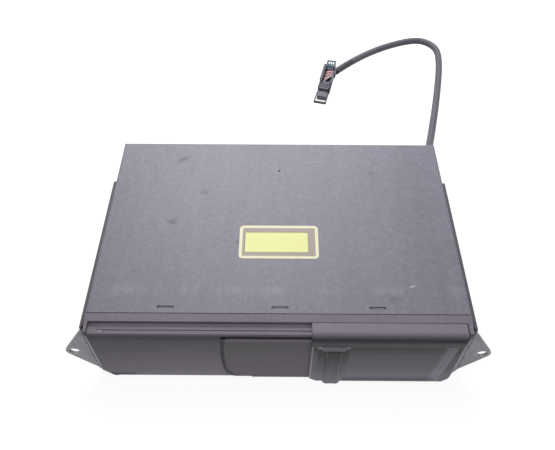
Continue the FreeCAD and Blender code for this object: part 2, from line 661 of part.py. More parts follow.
def arc_yz(y, z, radius, start, end):
    """Three points of an arc in the YZ plane; angles in degrees from +Y to +Z."""
    angles = [math.radians(start + (end - start) * share) for share in (0, 0.5, 1)]
    return [V(0, y + radius * math.cos(a), z + radius * math.sin(a)) for a in angles]


def wire_through(outline):
    """A wire through points, where a list of three points stands for an arc."""
    edges, last = [], None
    for item in outline:
        first = item[0] if isinstance(item, list) else item
        if last is not None and (first - last).Length > 1e-6:
            edges.append(Part.makeLine(last, first))
        if isinstance(item, list):
            edges.append(Part.Arc(*item).toShape())
        last = item[-1] if isinstance(item, list) else item
    return Part.Wire(edges)


def bow_disc(inset, y, depth):
    """The large disc whose rim is the leaf's bowed left edge."""
    radius = leaf_bow - inset
    return Part.makeCylinder(radius, depth, V(leaf_x0 + leaf_bow, y, case_height / 2), V(0, 1, 0))


def make_leaf():
    """The flat inner leaf. Two hooks at its right end pass through the mouth and hold it."""
    y0, y1 = y_leaf - leaf_sheet, y_leaf
    leaf = block(leaf_x0, leaf_x1, y0, y1, leaf_z0, leaf_z1)
    def corner(box):
        return runs_y(box) and near(box.XMin, box.XMax) and box.XMin < leaf_x0 + 4 and box.ZMin < leaf_z0 + 4

    leaf = rounded(leaf, leaf_corner, corner).common(bow_disc(0, y0 - 4, 9))
    middle = rounded(block(leaf_x0 + leaf_margin, leaf_x1 + 1, y0 - 1, y0 + leaf_margin_depth,
                           leaf_z0 + leaf_margin, leaf_z1 + 1), leaf_corner - leaf_margin, corner)
    margin = block(leaf_x0 - 1, leaf_x0 + 20, y0 - 1, y0 + leaf_margin_depth, leaf_z0 - 1, leaf_z1 - 3)
    leaf = leaf.cut(margin.cut(middle.common(bow_disc(leaf_margin, y0 - 4, 9))))
    x0, x1 = leaf_x1 - hook_length, leaf_x1
    y_wall = y_face + bezel_wall
    pieces = [leaf]
    for edge, inward in ((mouth_z1, -1), (mouth_z0, 1)):
        web = sorted((edge + inward * 0.3, edge + inward * 2.0))
        tip = sorted((edge - inward * 1.2, edge + inward * 2.0))
        pieces.append(block(x0, x1, y1 - 0.1, y_wall + slide_gap + 0.1, web[0], web[1]))
        pieces.append(block(x0, x1, y_wall + slide_gap, y_wall + slide_gap + 1.2, tip[0], tip[1]))
    return joined(pieces)


# ================================================================ fascia, button and eject levers
def make_fascia():
    """The plate behind the leaf that frames the eject button."""
    y0 = y_seam - fascia_reach
    z0, z1 = magazine_z0 - 4.6, magazine_z1 + 4.6
    plate = [block(fascia_x0, fascia_x1, y0, y0 + fascia_sheet, z0, z1)]
    for edge in (z0, z1 - 1.2):
        plate.append(block(fascia_x0, fascia_x1, y0, y_front_wall, edge, edge + 1.2))
    plate.append(block(fascia_x0, fascia_x0 + 1.2, y0, y_front_wall, z0, z1))
    hole = block(button_x0 - button_gap, button_x1 + button_gap, y0 - 1, y0 + 3,
                 button_z0 - button_gap, button_z1 + button_gap)
    notch = block(bar_x0 - 0.8, fascia_x1 + 1, y0 + fascia_sheet, y_seam + 1, z0 - 1, z0 + 2)
    return joined(plate).cut([rounded(hole, 1.0, runs_y), notch])


def make_button():
    y0 = y_seam - fascia_reach - button_travel
    cap = block(button_x0, button_x1, y0, y_seam - 1.0, button_z0, button_z1)
    cap = rounded(cap, 0.8, lambda box: near(box.YMax, y0) and runs_z(box))
    dish = bar(40.0, V(button_x0 - 1, y0 - 39.4, 31.0), V(button_x1 + 1, y0 - 39.4, 31.0))
    return cap.cut(dish)


def make_eject_bar():
    """Runs back from the button, low beside the magazine, to the kicking lever."""
    y_stem = y_seam - 6.0
    end = kick_pivot().y - kick_short * math.sin(kick_lean()) - kick_tip_radius - 0.5
    stem = block(bar_x0, bar_x1, y_stem, y_seam - 1.0, bar_z0, button_z0)
    run = block(bar_x0, bar_x1, y_stem, end, bar_z0, bar_z1)
    return joined([stem, run])


def kick_lean():
    """The lever leans by this angle to either side of square over its stroke."""
    return math.asin(eject_travel / 2 / kick_long)


def kick_pivot():
    tip_y = magazine_rear_y + kick_tip_radius + seat_gap
    return V((bar_x0 + bar_x1) / 2 + kick_short, tip_y - eject_travel / 2, 0)


def make_kick_lever():
    """The lever that turns a short push into the magazine's long step forward."""
    pivot, lean = kick_pivot(), kick_lean()
    short_end = V(-kick_short * math.cos(lean), -kick_short * math.sin(lean), 0) + pivot
    long_end = V(kick_long * math.cos(lean), kick_long * math.sin(lean), 0) + pivot
    across = V(-math.sin(lean), math.cos(lean), 0)
    low, rise = V(0, 0, kick_z0), V(0, 0, kick_z1 - kick_z0)
    arms = [short_end - across * 1.5 + low, pivot - across * 3.6 + low, long_end - across * 1.5 + low,
            long_end + across * 1.5 + low, pivot + across * 3.6 + low, short_end + across * 1.5 + low]
    pieces = [prism(arms, rise), bar(4.2, pivot + low, pivot + low + rise)]
    for end in (short_end, long_end):
        pieces.append(bar(kick_tip_radius, end + low, end + low + rise))
    pieces.append(bar(kick_tip_radius, long_end + low, long_end + V(0, 0, first_tray_z + 5)))
    return joined(pieces).cut(bar(stud_radius + bore_gap, pivot, pivot + V(0, 0, 20)))


# ================================================================ magazine
def make_magazine():
    """A moulded box, open on the left, with a comb of ledges along its front and rear."""
    x0, x1, y0, y1 = magazine_x0, magazine_x1, magazine_front_y, magazine_rear_y
    z0, z1, wall = magazine_z0, magazine_z1, magazine_wall
    case = rounded(block(x0, x1, y0, y1, z0, z1), 1.5,
                   lambda box: box.XMax > x1 - 0.01 and not near(box.XMin, x0))
    case = case.cut(block(x0 - 1, x1 - wall, y0 + wall, y1 - wall, z0 + wall, z1 - wall))
    pieces = [case]
    guide_front, guide_rear = tray_y0 - seat_gap, tray_y1 + seat_gap
    for inner, outer_side in ((guide_front, -1), (guide_rear, 1)):
        y = sorted((inner, inner + outer_side * guide_wall))
        pieces.append(block(x0, x1 - wall, y[0], y[1], z0 + wall - 0.1, z1 - wall + 0.1))
        shelf = sorted((inner - outer_side * (ledge_reach + seat_gap), inner + outer_side * 0.5))
        for level in range(1, tray_count):
            top = first_tray_z + level * tray_pitch - seat_gap
            pieces.append(block(x0, x1 - wall, shelf[0], shelf[1], top - ledge, top))
        pieces.append(block(x0, x1 - wall, shelf[0], shelf[1], z0 + wall - 0.1, first_tray_z - seat_gap))
    magazine = joined(pieces)
    pull = rounded(block(38.0, 78.0, y0 - 1, y0 + 1.0, z0 + 8, z1 - 8), 3.0, runs_y)
    return magazine.cut([pull, *grip_grooves(y0)])


def grip_grooves(y0):
    """Fine grip grooves to the right of the magazine's finger pull."""
    return [block(84.0 + 3 * i, 85.2 + 3 * i, y0 - 1, y0 + 0.5, magazine_z0 + 9, magazine_z1 - 9)
            for i in range(9)]


def make_tray(level):
    """A thin tray: a disc recess, and a window that the deck reaches the disc through."""
    z0 = first_tray_z + level * tray_pitch
    z1 = z0 + tray_thickness
    tray = block(tray_x0, tray_x1, tray_y0, tray_y1, z0, z1)
    tray = rounded(tray, 2.0, runs_z)
    centre = V(disc_x, disc_y, 0)
    recess = bar(recess_radius, centre + V(0, 0, z1 - tray_recess), centre + V(0, 0, z1 + 1))
    window = bar(tray_window_radius, centre + V(0, 0, z0 - 1), centre + V(0, 0, z1))
    slot = block(tray_x0 + tray_rim + 3.0, disc_x, disc_y - tray_window_width / 2,
                 disc_y + tray_window_width / 2, z0 - 1, z1)
    slot = bevelled(slot, 2.0, lambda box: runs_z(box) and box.XMin < disc_x - 1)
    lift = block(tray_x0 - 1, tray_x0 + 9, disc_y - 41, disc_y - 29, z0 - 1, z1 + 1)
    lift = bevelled(lift, 2.0, lambda box: runs_z(box) and box.XMin > tray_x0)
    return tray.cut([recess, window, slot, lift])


def make_bay():
    """The bent sheet that carries and guides the magazine."""
    x0, x1, y0, y1 = bay_x0, bay_x1, bay_y0, bay_y1
    z1, roof_z = bay_floor_z, magazine_z1 + seat_gap
    z0 = z1 - sheet
    pieces = [block(x0, x1, y0, y1, z0, z1), block(x0, x0 + sheet, y0, y1, z0, bay_lip_z),
              block(x1 - sheet, x1, y0, y1, sheet, roof_z + sheet),
              block(x1 - bay_roof_width, x1, y0, y1, roof_z, roof_z + sheet),
              block(x1 - 9, x1, y0 + 6, y1 - 6, sheet, 2 * sheet)]
    for foot_y in (y0 + 3, kick_pivot().y - 30):
        pieces.append(block(x0, x0 + sheet, foot_y, foot_y + 16, sheet, z1))
        pieces.append(block(x0, x0 + 9, foot_y, foot_y + 16, sheet, 2 * sheet))
        pieces.append(block(bar_x0 - 0.5, x0 + 0.5, foot_y + 4, foot_y + 12,
                            bar_z0 - 1.0, bar_z0 - 0.2))
        pieces.append(block(bar_x0 - 1.3, bar_x0 - 0.5, foot_y + 4, foot_y + 12,
                            bar_z0 - 1.0, bar_z0 + 1.5))
    pivot = kick_pivot()
    pieces.append(bar(stud_radius, pivot + V(0, 0, kick_z0 - 1.2), pivot + V(0, 0, z0 + 0.1)))
    pieces.append(stud(stud_radius + 1.4, pivot + V(0, 0, kick_z0 - 1.2), pivot + V(0, 0, kick_z0 - 0.3)))
    pieces.append(stud(stud_radius + 1.4, pivot + V(0, 0, kick_z1 + 0.3), pivot + V(0, 0, z0 + 0.1)))
    bay = joined(pieces)
    tip_x = pivot.x + kick_long
    slot = block(tip_x - 3.0, tip_x + 2.2, pivot.y - eject_travel / 2 - 2.2, y1 + 1, z0 - 1, z1 + 1)
    window = bevelled(block(20.0, 96.0, y0 + 17.8, y1 - 38.5, z0 - 1, z1 + 1), 6.0, runs_z)
    return bay.cut([slot, window])


# ================================================================ mechanism frame and its dampers
def make_frame():
    """Two upright plates on a base, with a strap across; the deck's pins run in their slots."""
    x0, x1 = frame_x0, frame_x1
    front, rear = y_plate_front, y_plate_rear
    pieces = [block(x0, x1, front - sheet, rear + sheet, frame_base_z, frame_base_z + sheet)]
    for inner, outward in ((front, -1), (rear, 1)):
        y = sorted((inner, inner + outward * sheet))
        pieces.append(block(x0, x1, y[0], y[1], frame_base_z, frame_top))
    pieces.append(block(x0 + 21.0, x0 + 37.0, front - sheet, rear + sheet, frame_top - sheet, frame_top))
    frame = joined(pieces)
    cuts = [bevelled(block(-100.0, -26.0, front + 16.5, rear - 16.5, 0, 9), 6.0, runs_z)]
    radius = pin_radius + pin_slot_gap
    for x in pin_places:
        low, high = pin_z, pin_z + lift_travel
        cuts.append(block(x - radius, x + radius, front - 9, rear + 9, low, high))
        cuts += [bar(radius, V(x, front - 9, z), V(x, rear + 9, z)) for z in (low, high)]
    for x in (-108.0, -30.0):
        cuts.append(block(x - 8, x + 8, front - 9, rear + 9, 14.0, 44.0))
    for dx, dy in damper_places():
        cuts.append(stud(damper_neck + screw_gap, V(dx, dy, 0), V(dx, dy, 9)))
    for x in gear_post_places():
        cuts.append(bar(1.6, V(x, rear - 5, gear_post_z()), V(x, rear + 5, gear_post_z())))
    return frame.cut(cuts)


def make_dampers():
    """Rubber grommets that hold the frame's base clear of the chassis floor."""
    dampers = []
    base, top = frame_base_z, frame_base_z + sheet
    for x, y in damper_places():
        foot = stud(damper_radius, V(x, y, sheet), V(x, y, base))
        neck = stud(damper_neck, V(x, y, base), V(x, y, top + 0.8))
        hole = stud(damper_pin + screw_gap, V(x, y, 0), V(x, y, top + 2))
        dampers.append(foot.fuse(neck).cut(hole))
    return group(dampers)


# ================================================================ lift: slider, gears and motor
def slider_outline_cut(y0, y1):
    """The slanted slots that lift the deck's pins as the slider moves right."""
    radius = pin_radius + pin_slot_gap
    cuts = []
    for x in pin_places:
        low, high = V(x, y0, pin_z), V(x - lift_travel, y0, pin_z + lift_travel)
        across = V(1, 0, 1) * (radius / math.sqrt(2))
        cuts.append(prism([low - across, low + across, high + across, high - across],
                          V(0, y1 - y0, 0)))
        cuts += [bar(radius, end, end + V(0, y1 - y0, 0)) for end in (low, high)]
    return cuts


def make_slider():
    """One U-shaped plate: slanted slots in both sides and a rack along the top of the rear one."""
    front, rear, t = y_slider_front, y_slider_rear, slider_sheet
    pieces = [block(slider_x0, slider_x1, front - t, front, slider_z0, slider_z1),
              block(slider_x0, slider_x1, rear, rear + t, slider_z0, slider_z1),
              block(slider_strip[0], slider_strip[1], front - t, rear + t, slider_z0, slider_z0 + sheet)]
    pieces += rack_teeth(rear, t)
    slider = joined(pieces)
    cuts = slider_outline_cut(front - t - 1, front + 1) + slider_outline_cut(rear - 1, rear + t + 1)
    return slider.cut(cuts)


def rack_pitch_z():
    return slider_z1 + dedendum * module


def rack_teeth(y0, width):
    pitch = math.pi * module
    half = (pitch / 2 - backlash) / 2
    slope = math.tan(pressure_angle)
    root, tip = dedendum * module, addendum * module
    line = rack_pitch_z()
    teeth = []
    first = -math.ceil((lift_travel + 4.0) / pitch)
    for index in range(first, 3):
        x = rack_gear_x + (index + 0.5) * pitch
        teeth.append(prism([V(x - half - root * slope, y0, line - root - 0.1),
                            V(x + half + root * slope, y0, line - root - 0.1),
                            V(x + half - tip * slope, y0, line + tip),
                            V(x - half + tip * slope, y0, line + tip)], V(0, width, 0)))
    return teeth


def gear(teeth, phase, centre, y0, width, hole):
    """An involute gear in the XZ plane with a tooth at the phase angle (degrees, +X to +Z)."""
    pitch_radius = teeth * module / 2
    base = pitch_radius * math.cos(pressure_angle)
    root, tip = pitch_radius - dedendum * module, pitch_radius + addendum * module
    half = (math.pi * module / 2 - backlash) / 2 / pitch_radius
    involute_at_pitch = math.tan(pressure_angle) - pressure_angle

    def flank_angle(radius):
        angle = math.acos(min(1.0, base / radius))
        return half + involute_at_pitch - (math.tan(angle) - angle)

    def point(radius, angle):
        return V(centre.x + radius * math.cos(angle), y0, centre.z + radius * math.sin(angle))

    foot = max(base, root)
    radii = [foot + (tip - foot) * share for share in (0, 0.5, 1)]
    step = 2 * math.pi / teeth
    outline = []
    for index in range(teeth):
        middle = math.radians(phase) + index * step
        rising = [point(radius, middle - flank_angle(radius)) for radius in radii]
        falling = [point(radius, middle + flank_angle(radius)) for radius in reversed(radii)]
        if base > root:
            rising.insert(0, point(root, middle - flank_angle(foot)))
            falling.append(point(root, middle + flank_angle(foot)))
        outline += rising + falling
    body = prism(outline, V(0, width, 0))
    return body.cut(bar(hole, centre + V(0, y0 - 1, 0), centre + V(0, y0 + width + 1, 0)))


def gear_centres():
    """Centres of the rack gear, the middle gear and the motor's pinion."""
    small, large = pinion_teeth * module / 2, wheel_teeth * module / 2
    rack_gear = V(rack_gear_x, 0, rack_pitch_z() + small)
    first, second = math.radians(first_mesh_angle), math.radians(motor_mesh_angle)
    middle = rack_gear + V(math.cos(first), 0, math.sin(first)) * (small + large)
    motor = middle + V(math.cos(second), 0, math.sin(second)) * (small + large)
    return rack_gear, middle, motor


def meshed_phase(angle, other_phase, other_teeth, teeth):
    """The phase of a gear that meshes with another one, met from it at this angle."""
    other_step, step = 360.0 / other_teeth, 360.0 / teeth
    return angle + 180 - step * (0.5 - (angle - other_phase) / other_step)


def gear_levels():
    first = y_slider_rear + 0.1
    second = y_slider_rear + slider_sheet + gear_gap
    third = second + gear_width + gear_gap
    return first, second, third


def make_lift_gears():
    """Motor pinion, middle gear and rack gear; the last two carry a wheel and a pinion each."""
    rack_gear, middle, motor = gear_centres()
    first, second, third = gear_levels()
    bore = stud_radius + bore_gap
    rack_phase = -90.0
    wheel_phase = -90.0
    middle_phase = meshed_phase(first_mesh_angle, wheel_phase, wheel_teeth, pinion_teeth)
    motor_phase = meshed_phase(motor_mesh_angle, middle_phase, wheel_teeth, pinion_teeth)
    last = joined([gear(pinion_teeth, rack_phase, rack_gear, first, second - first, bore),
                   gear(wheel_teeth, wheel_phase, rack_gear, second, gear_width, bore)])
    centre = joined([gear(pinion_teeth, middle_phase, middle, second, third - second, bore),
                     gear(wheel_teeth, middle_phase, middle, third, gear_width, bore)])
    pinion = gear(pinion_teeth, motor_phase, motor, third, gear_width, 1.0)
    shaft = bar(1.0, motor + V(0, third, 0), motor + V(0, third + gear_width + 3.0, 0))
    return joined([pinion, shaft]), centre, last


def gear_post_places():
    return (rack_gear_x - 17.0, rack_gear_x + 32.0)


def gear_post_z():
    return slider_z1 + 8.2


def bracket_plate_y():
    return gear_levels()[2] + gear_width + gear_gap


def make_gear_bracket():
    """The plate behind the gears: it carries their studs and the motor."""
    rack_gear, middle, motor = gear_centres()
    first, second, third = gear_levels()
    y = bracket_plate_y()
    x0, x1 = gear_post_places()[0] - 4, gear_post_places()[1] + 4
    corners = [V(x0, y, gear_post_z() + 4), V(x0, y, gear_post_z() - 6), V(motor.x - 15, y, 22.0),
               V(motor.x - 9, y, 17.0), V(motor.x + 15, y, 17.0), V(x1, y, gear_post_z() - 8),
               V(x1, y, gear_post_z() + 4)]
    pieces = [prism(corners, V(0, sheet, 0))]
    for x in gear_post_places():
        post = V(x, y_plate_rear + sheet, gear_post_z())
        pieces.append(bar(2.6, post, V(x, y + 0.2, gear_post_z())))
        pieces.append(bar(1.5, post - V(0, sheet + 0.6, 0), post + V(0, 1, 0)))
    for centre, start in ((rack_gear, first), (middle, second)):
        pieces.append(bar(stud_radius, centre + V(0, start, 0), centre + V(0, y + 0.2, 0)))
    plate = joined(pieces)
    return plate.cut(bar(3.2, motor + V(0, y - 1, 0), motor + V(0, y + 3, 0)))


def make_lift_motor():
    motor = gear_centres()[2]
    y = bracket_plate_y() + sheet
    can = bar(motor_radius, motor + V(0, y, 0), motor + V(0, y + motor_length - 1.0, 0))
    boss = bar(3.0, motor + V(0, y - 0.8, 0), motor + V(0, y + 1, 0))
    cap = bar(5.0, motor + V(0, y + motor_length - 1.2, 0), motor + V(0, y + motor_length, 0))
    shaft_way = bar(1.0 + bore_gap, motor + V(0, y - 2, 0), motor + V(0, y + 3.0, 0))
    return joined([can, boss, cap]).cut(shaft_way)


# ================================================================ playback deck
def make_deck():
    """The lifting plate: flanges down both sides, four pins, a pickup window and the clamp's ears."""
    x0, x1, y0, y1, z0, t = deck_x0, deck_x1, deck_y0, deck_y1, deck_z, deck_sheet
    pieces = [block(x0, x1, y0, y1, z0, z0 + t)]
    for outer, inward, slider in ((y0, 1, y_slider_front), (y1, -1, y_slider_rear)):
        y = sorted((outer, outer + inward * t))
        pieces.append(block(x0, x1, y[0], y[1], deck_flange_z, z0 + 0.1))
        tip = slider - inward * (slider_sheet + 0.1)
        shoulder = outer - inward * (deck_inset + plate_gap - seat_gap)
        for x in pin_places:
            pieces.append(bar(pin_radius, V(x, outer + inward * 0.5, pin_z), V(x, tip, pin_z)))
            pieces.append(stud(pin_radius + 1.3, V(x, outer + inward * 0.5, pin_z),
                               V(x, shoulder, pin_z)))
    ear_x1 = clamp_pivot_x + 2.0
    for side in (-1, 1):
        y = sorted((disc_y + side * (clamp_half_y + 0.6), disc_y + side * (clamp_half_y + 2.1)))
        pieces.append(block(x0 + 0.6, ear_x1, y[0], y[1], z0 + 0.1, clamp_pivot_z + 1.8))
    for x in (rod_x0(), rod_x1()):
        for side in (-1, 1):
            y = disc_y + side * rod_offset
            if side < 0 and x > rod_x0() + 1:
                continue
            pieces.append(block(x - 1.6, x + 1.6, y - 3.2, y + 3.2, rod_z - 3.0, z0 + 0.1))
    deck = joined(pieces)
    window = block(lens_x() - pickup_travel - pickup_half_x - 0.6, lens_x() + pickup_half_x + 0.6,
                   disc_y - rod_offset + 3.6, disc_y + rod_offset - 2.6, z0 - 1, z0 + t + 1)
    cuts = [rounded(window, 2.0, runs_z),
            bar(4.0, V(spindle_x, disc_y, z0 - 1), V(spindle_x, disc_y, z0 + t + 1))]
    for side in (-1, 1):
        y = disc_y + side * rod_offset
        cuts.append(bar(rod_radius + 0.02, V(rod_x0() - 2, y, rod_z), V(rod_x1() + 2, y, rod_z)))
        cuts.append(bevelled(block(-38.0, -18.0, disc_y + side * 30 - 14, disc_y + side * 30 + 14,
                                   z0 - 1, z0 + t + 1), 4.0, runs_z))
    cuts.append(bar(clamp_pin_radius + 0.02, V(clamp_pivot_x, disc_y - clamp_half_y - 9, clamp_pivot_z),
                    V(clamp_pivot_x, disc_y + clamp_half_y + 9, clamp_pivot_z)))
    return deck.cut(cuts)


def rod_x0():
    return deck_x0 + 1.6


def rod_x1():
    return spindle_x - spindle_motor_radius - 1.6


def make_guide_rod():
    y = disc_y + rod_offset
    return bar(rod_radius, V(rod_x0() - 1.5, y, rod_z), V(rod_x1() + 1.5, y, rod_z))


def make_lead_screw():
    y = disc_y - rod_offset
    return bar(rod_radius - bore_gap, V(rod_x0() - 1.5, y, rod_z), V(rod_x1() + 1.2, y, rod_z))


def make_sled_motor():
    x0, y = rod_x1() + 1.6, disc_y - rod_offset
    body = block(x0, x0 + 15.0, y - 6.0, y + 6.0, deck_flange_z, deck_z)
    body = rounded(body, 2.0, runs_x)
    return body


def lens_x():
    return spindle_x - pickup_inner


def make_pickup():
    """The laser sled: bearings round the guide rod and a finger beside the lead screw."""
    x, y_rod, y_screw = lens_x(), disc_y + rod_offset, disc_y - rod_offset
    half = pickup_half_x
    body = block(x - half, x + half, disc_y - 16.0, disc_y + 17.0, 5.8, 12.6)
    body = rounded(body, 1.5, lambda box: runs_z(box))
    head = bar(8.0, V(x, disc_y, 12.0), V(x, disc_y, 13.4))
    arm = block(x - 3, x + 3, y_screw + rod_radius + 0.3, disc_y - 15.0, 6.6, 9.6)
    finger = block(x - 3, x + 3, y_screw - 1.0, y_screw + rod_radius + 0.4,
                   rod_z - rod_radius - 1.6, rod_z - rod_radius - 0.3)
    riser = block(x - 3, x + 3, y_screw + rod_radius + 0.3, y_screw + rod_radius + 1.5,
                  rod_z - rod_radius - 1.6, 9.6)
    bearing = [block(x + shift - 2.5, x + shift + 2.5, disc_y + 16.0, y_rod + 2.9, 5.8, 10.4)
               for shift in (-half + 2.5, half - 2.5)]
    sled = joined([body, head, arm, finger, riser] + bearing)
    return sled.cut([bar(rod_radius + bore_gap, V(x - 20, y_rod, rod_z), V(x + 20, y_rod, rod_z)),
                     bar(3.3, V(x, disc_y, 12.0), V(x, disc_y, 20.0))])


def make_lens():
    x = lens_x()
    barrel = bar(3.2, V(x, disc_y, 12.0), V(x, disc_y, lens_top - 0.6))
    crown = Part.makeCone(2.6, 1.4, 0.6, V(x, disc_y, lens_top - 0.6), V(0, 0, 1))
    return joined([barrel, crown])


def make_spindle_motor():
    base = bar(spindle_motor_radius, V(spindle_x, disc_y, deck_flange_z + 0.2),
               V(spindle_x, disc_y, deck_z))
    collar = bar(3.6, V(spindle_x, disc_y, deck_z - 0.1), V(spindle_x, disc_y, deck_z + 1.0))
    way = bar(1.0 + bore_gap, V(spindle_x, disc_y, deck_flange_z + 1.5), V(spindle_x, disc_y, 20))
    return joined([base, collar]).cut(way)


def make_turntable():
    top = first_tray_z - 0.4
    z0 = deck_z + deck_sheet + 0.4
    profile = [V(0, 0, deck_flange_z + 1.8), V(1.0, 0, deck_flange_z + 1.8), V(1.0, 0, z0),
               V(turntable_radius, 0, z0), V(turntable_radius, 0, z0 + 1.4), V(7.4, 0, z0 + 1.4),
               V(7.4, 0, z0 + 2.2), V(5.4, 0, top), V(0, 0, top)]
    solid = Part.Face(Part.makePolygon(profile + [profile[0]])).revolve(V(0, 0, 0), V(0, 0, 1), 360)
    solid.translate(V(spindle_x, disc_y, 0))
    return solid


def make_clamp_pin():
    reach = clamp_half_y + 2.6
    return bar(clamp_pin_radius, V(clamp_pivot_x, disc_y - reach, clamp_pivot_z),
               V(clamp_pivot_x, disc_y + reach, clamp_pivot_z))


def make_clamp_arm():
    """A sprung arm, wide at its hinge and narrow over the spindle, that holds the puck."""
    z0 = clamp_pivot_z - 0.6
    root = clamp_pivot_x + 2.4
    half = clamp_half_y
    nose = clamp_puck_radius + 1.0
    corners = [V(root, disc_y - half, z0), V(spindle_x, disc_y - 9.0, z0),
               V(spindle_x, disc_y + 9.0, z0), V(root, disc_y + half, z0)]
    pieces = [prism(corners, V(0, 0, clamp_sheet)),
              bar(9.0, V(spindle_x, disc_y, z0), V(spindle_x, disc_y, z0 + clamp_sheet))]
    for side in (-1, 1):
        y = sorted((disc_y + side * half, disc_y + side * (half - 6.0)))
        pieces.append(bar(clamp_pin_radius + 0.8, V(clamp_pivot_x, y[0], clamp_pivot_z),
                          V(clamp_pivot_x, y[1], clamp_pivot_z)))
        pieces.append(block(clamp_pivot_x, root + 1, y[0], y[1], z0, z0 + clamp_sheet))
    arm = joined(pieces)
    inner = [V(root + 8, disc_y - 16.0, 0), V(spindle_x - nose - 6, disc_y - 7.0, 0),
             V(spindle_x - nose - 6, disc_y + 7.0, 0), V(root + 8, disc_y + 16.0, 0)]
    cuts = [prism(inner, V(0, 0, 40)),
            bar(5.0, V(spindle_x, disc_y, 0), V(spindle_x, disc_y, 40)),
            bar(clamp_pin_radius + bore_gap, V(clamp_pivot_x, disc_y - 60, clamp_pivot_z),
                V(clamp_pivot_x, disc_y + 60, clamp_pivot_z))]
    return arm.cut(cuts)


def make_puck():
    """The loose disc clamp: a flange under the arm, a neck through it and a smaller flange above."""
    arm_z0 = clamp_pivot_z - 0.6
    arm_z1 = arm_z0 + clamp_sheet
    z0 = first_tray_z + tray_thickness + 0.4
    profile = [V(0, 0, z0), V(clamp_puck_radius, 0, z0), V(clamp_puck_radius, 0, arm_z0 - 0.4),
               V(4.0, 0, arm_z0 - 0.4), V(4.0, 0, arm_z1 + 0.15), V(6.8, 0, arm_z1 + 0.15),
               V(6.8, 0, arm_z1 + 0.75), V(0, 0, arm_z1 + 0.75)]
    solid = Part.Face(Part.makePolygon(profile + [profile[0]])).revolve(V(0, 0, 0), V(0, 0, 1), 360)
    solid.translate(V(spindle_x, disc_y, 0))
    return solid


# ================================================================ control board
def make_board():
    board = block(board_x0, board_x1, board_y0, board_y1, board_z, board_z + board_sheet)
    return board.cut(block(board_x1 - 30, board_x1 + 1, board_y1 - 26, board_y1 - 12, 0, 9))


def make_board_chips():
    """Flat packages, each with a row of leads down two sides."""
    top = board_z + board_sheet
    chips = []
    for across, back, length, width in ((0.26, 36, 20, 20), (0.61, 31, 24, 12), (0.28, 76, 16, 16),
                                        (0.66, 66, 18, 10), (0.84, 46, 10, 14)):
        x, y = board_x0 + across * (board_x1 - board_x0), board_y0 + back
        body = block(x - length / 2, x + length / 2, y - width / 2, y + width / 2, top + 0.2, top + 2.4)
        leads = block(x - length / 2 + 1, x + length / 2 - 1, y - width / 2 - 1.6,
                      y + width / 2 + 1.6, top, top + 0.6)
        chips.append(joined([body, leads]))
    return group(chips)


def make_board_capacitors():
    top = board_z + board_sheet
    cans = []
    for across, back in ((0.1, 12), (0.2, 12), (0.84, 14), (0.46, 92)):
        x, y = board_x0 + across * (board_x1 - board_x0), board_y0 + back
        cans.append(bar(3.2, V(x, y, top), V(x, y, top + 5.0)))
    return group(cans)


def make_board_sockets():
    top = board_z + board_sheet
    sockets = []
    for across, back, length in ((0.06, 56, 26.0), (0.58, 92, 14.0)):
        x, y = board_x0 + across * (board_x1 - board_x0), board_y0 + back
        shell = block(x - 3, x + 3, y - length / 2, y + length / 2, top, top + 4.6)
        shell = shell.cut(block(x - 2, x + 2, y - length / 2 + 1, y + length / 2 - 1, top + 1, top + 9))
        sockets.append(shell)
    return group(sockets)


# ================================================================ cable and plug
def make_grommet():
    """A rubber bush in the rear wall with a tapered sleeve round the cable."""
    wall0, wall1 = y_rear_wall - sheet, y_rear_wall
    r, bore = grommet_radius, cable_diameter / 2
    profile = [V(bore, wall0 - grommet_flange, 0), V(r + 1.2, wall0 - grommet_flange, 0),
               V(r + 1.2, wall0, 0), V(r, wall0, 0), V(r, wall1, 0), V(r + 1.2, wall1, 0),
               V(r + 1.2, wall1 + grommet_flange, 0), V(r - 0.4, wall1 + grommet_flange + 0.6, 0),
               V(bore + 1.2, wall1 + grommet_reach, 0), V(bore, wall1 + grommet_reach, 0)]
    face = Part.Face(Part.makePolygon(profile + [profile[0]]))
    bush = face.revolve(V(0, 0, 0), V(0, 1, 0), 360)
    bush.translate(V(cable_x, 0, cable_z))
    return bush


def make_cable():
    points = [V(*p) for p in cable_points]
    edges, last = [], points[0]
    for before, corner, after in zip(points, points[1:], points[2:]):
        back, ahead = (before - corner), (after - corner)
        turn = math.pi - back.getAngle(ahead)
        reach = 0.45 * min(back.Length, ahead.Length)
        radius = reach / math.tan(turn / 2)
        back.normalize()
        ahead.normalize()
        start, end = corner + back * reach, corner + ahead * reach
        inward = (back + ahead).normalize()
        middle = corner + inward * (radius / math.cos(turn / 2) - radius)
        edges += [Part.makeLine(last, start), Part.Arc(start, middle, end).toShape()]
        last = end
        print("bend at", corner, "radius", round(radius, 1), "turn", round(math.degrees(turn), 1))
    edges.append(Part.makeLine(last, points[-1]))
    path = Part.Wire(edges)
    first_run = points[1] - points[0]
    circle = Part.Wire(Part.Circle(points[0], first_run, cable_diameter / 2).toShape())
    cable = path.makePipeShell([circle], True, False)
    print("cable length", round(path.Length, 1), "volume share",
          round(cable.Volume / (path.Length * math.pi * cable_diameter ** 2 / 4), 4))
    return cable


def placed_plug(shape):
    """From the plug's own frame (length along +X from the wire end) to where it lies."""
    shape = shape.copy()
    shape.rotate(V(0, 0, 0), V(0, 0, 1), plug_turn)
    shape.translate(plug_end)
    return shape


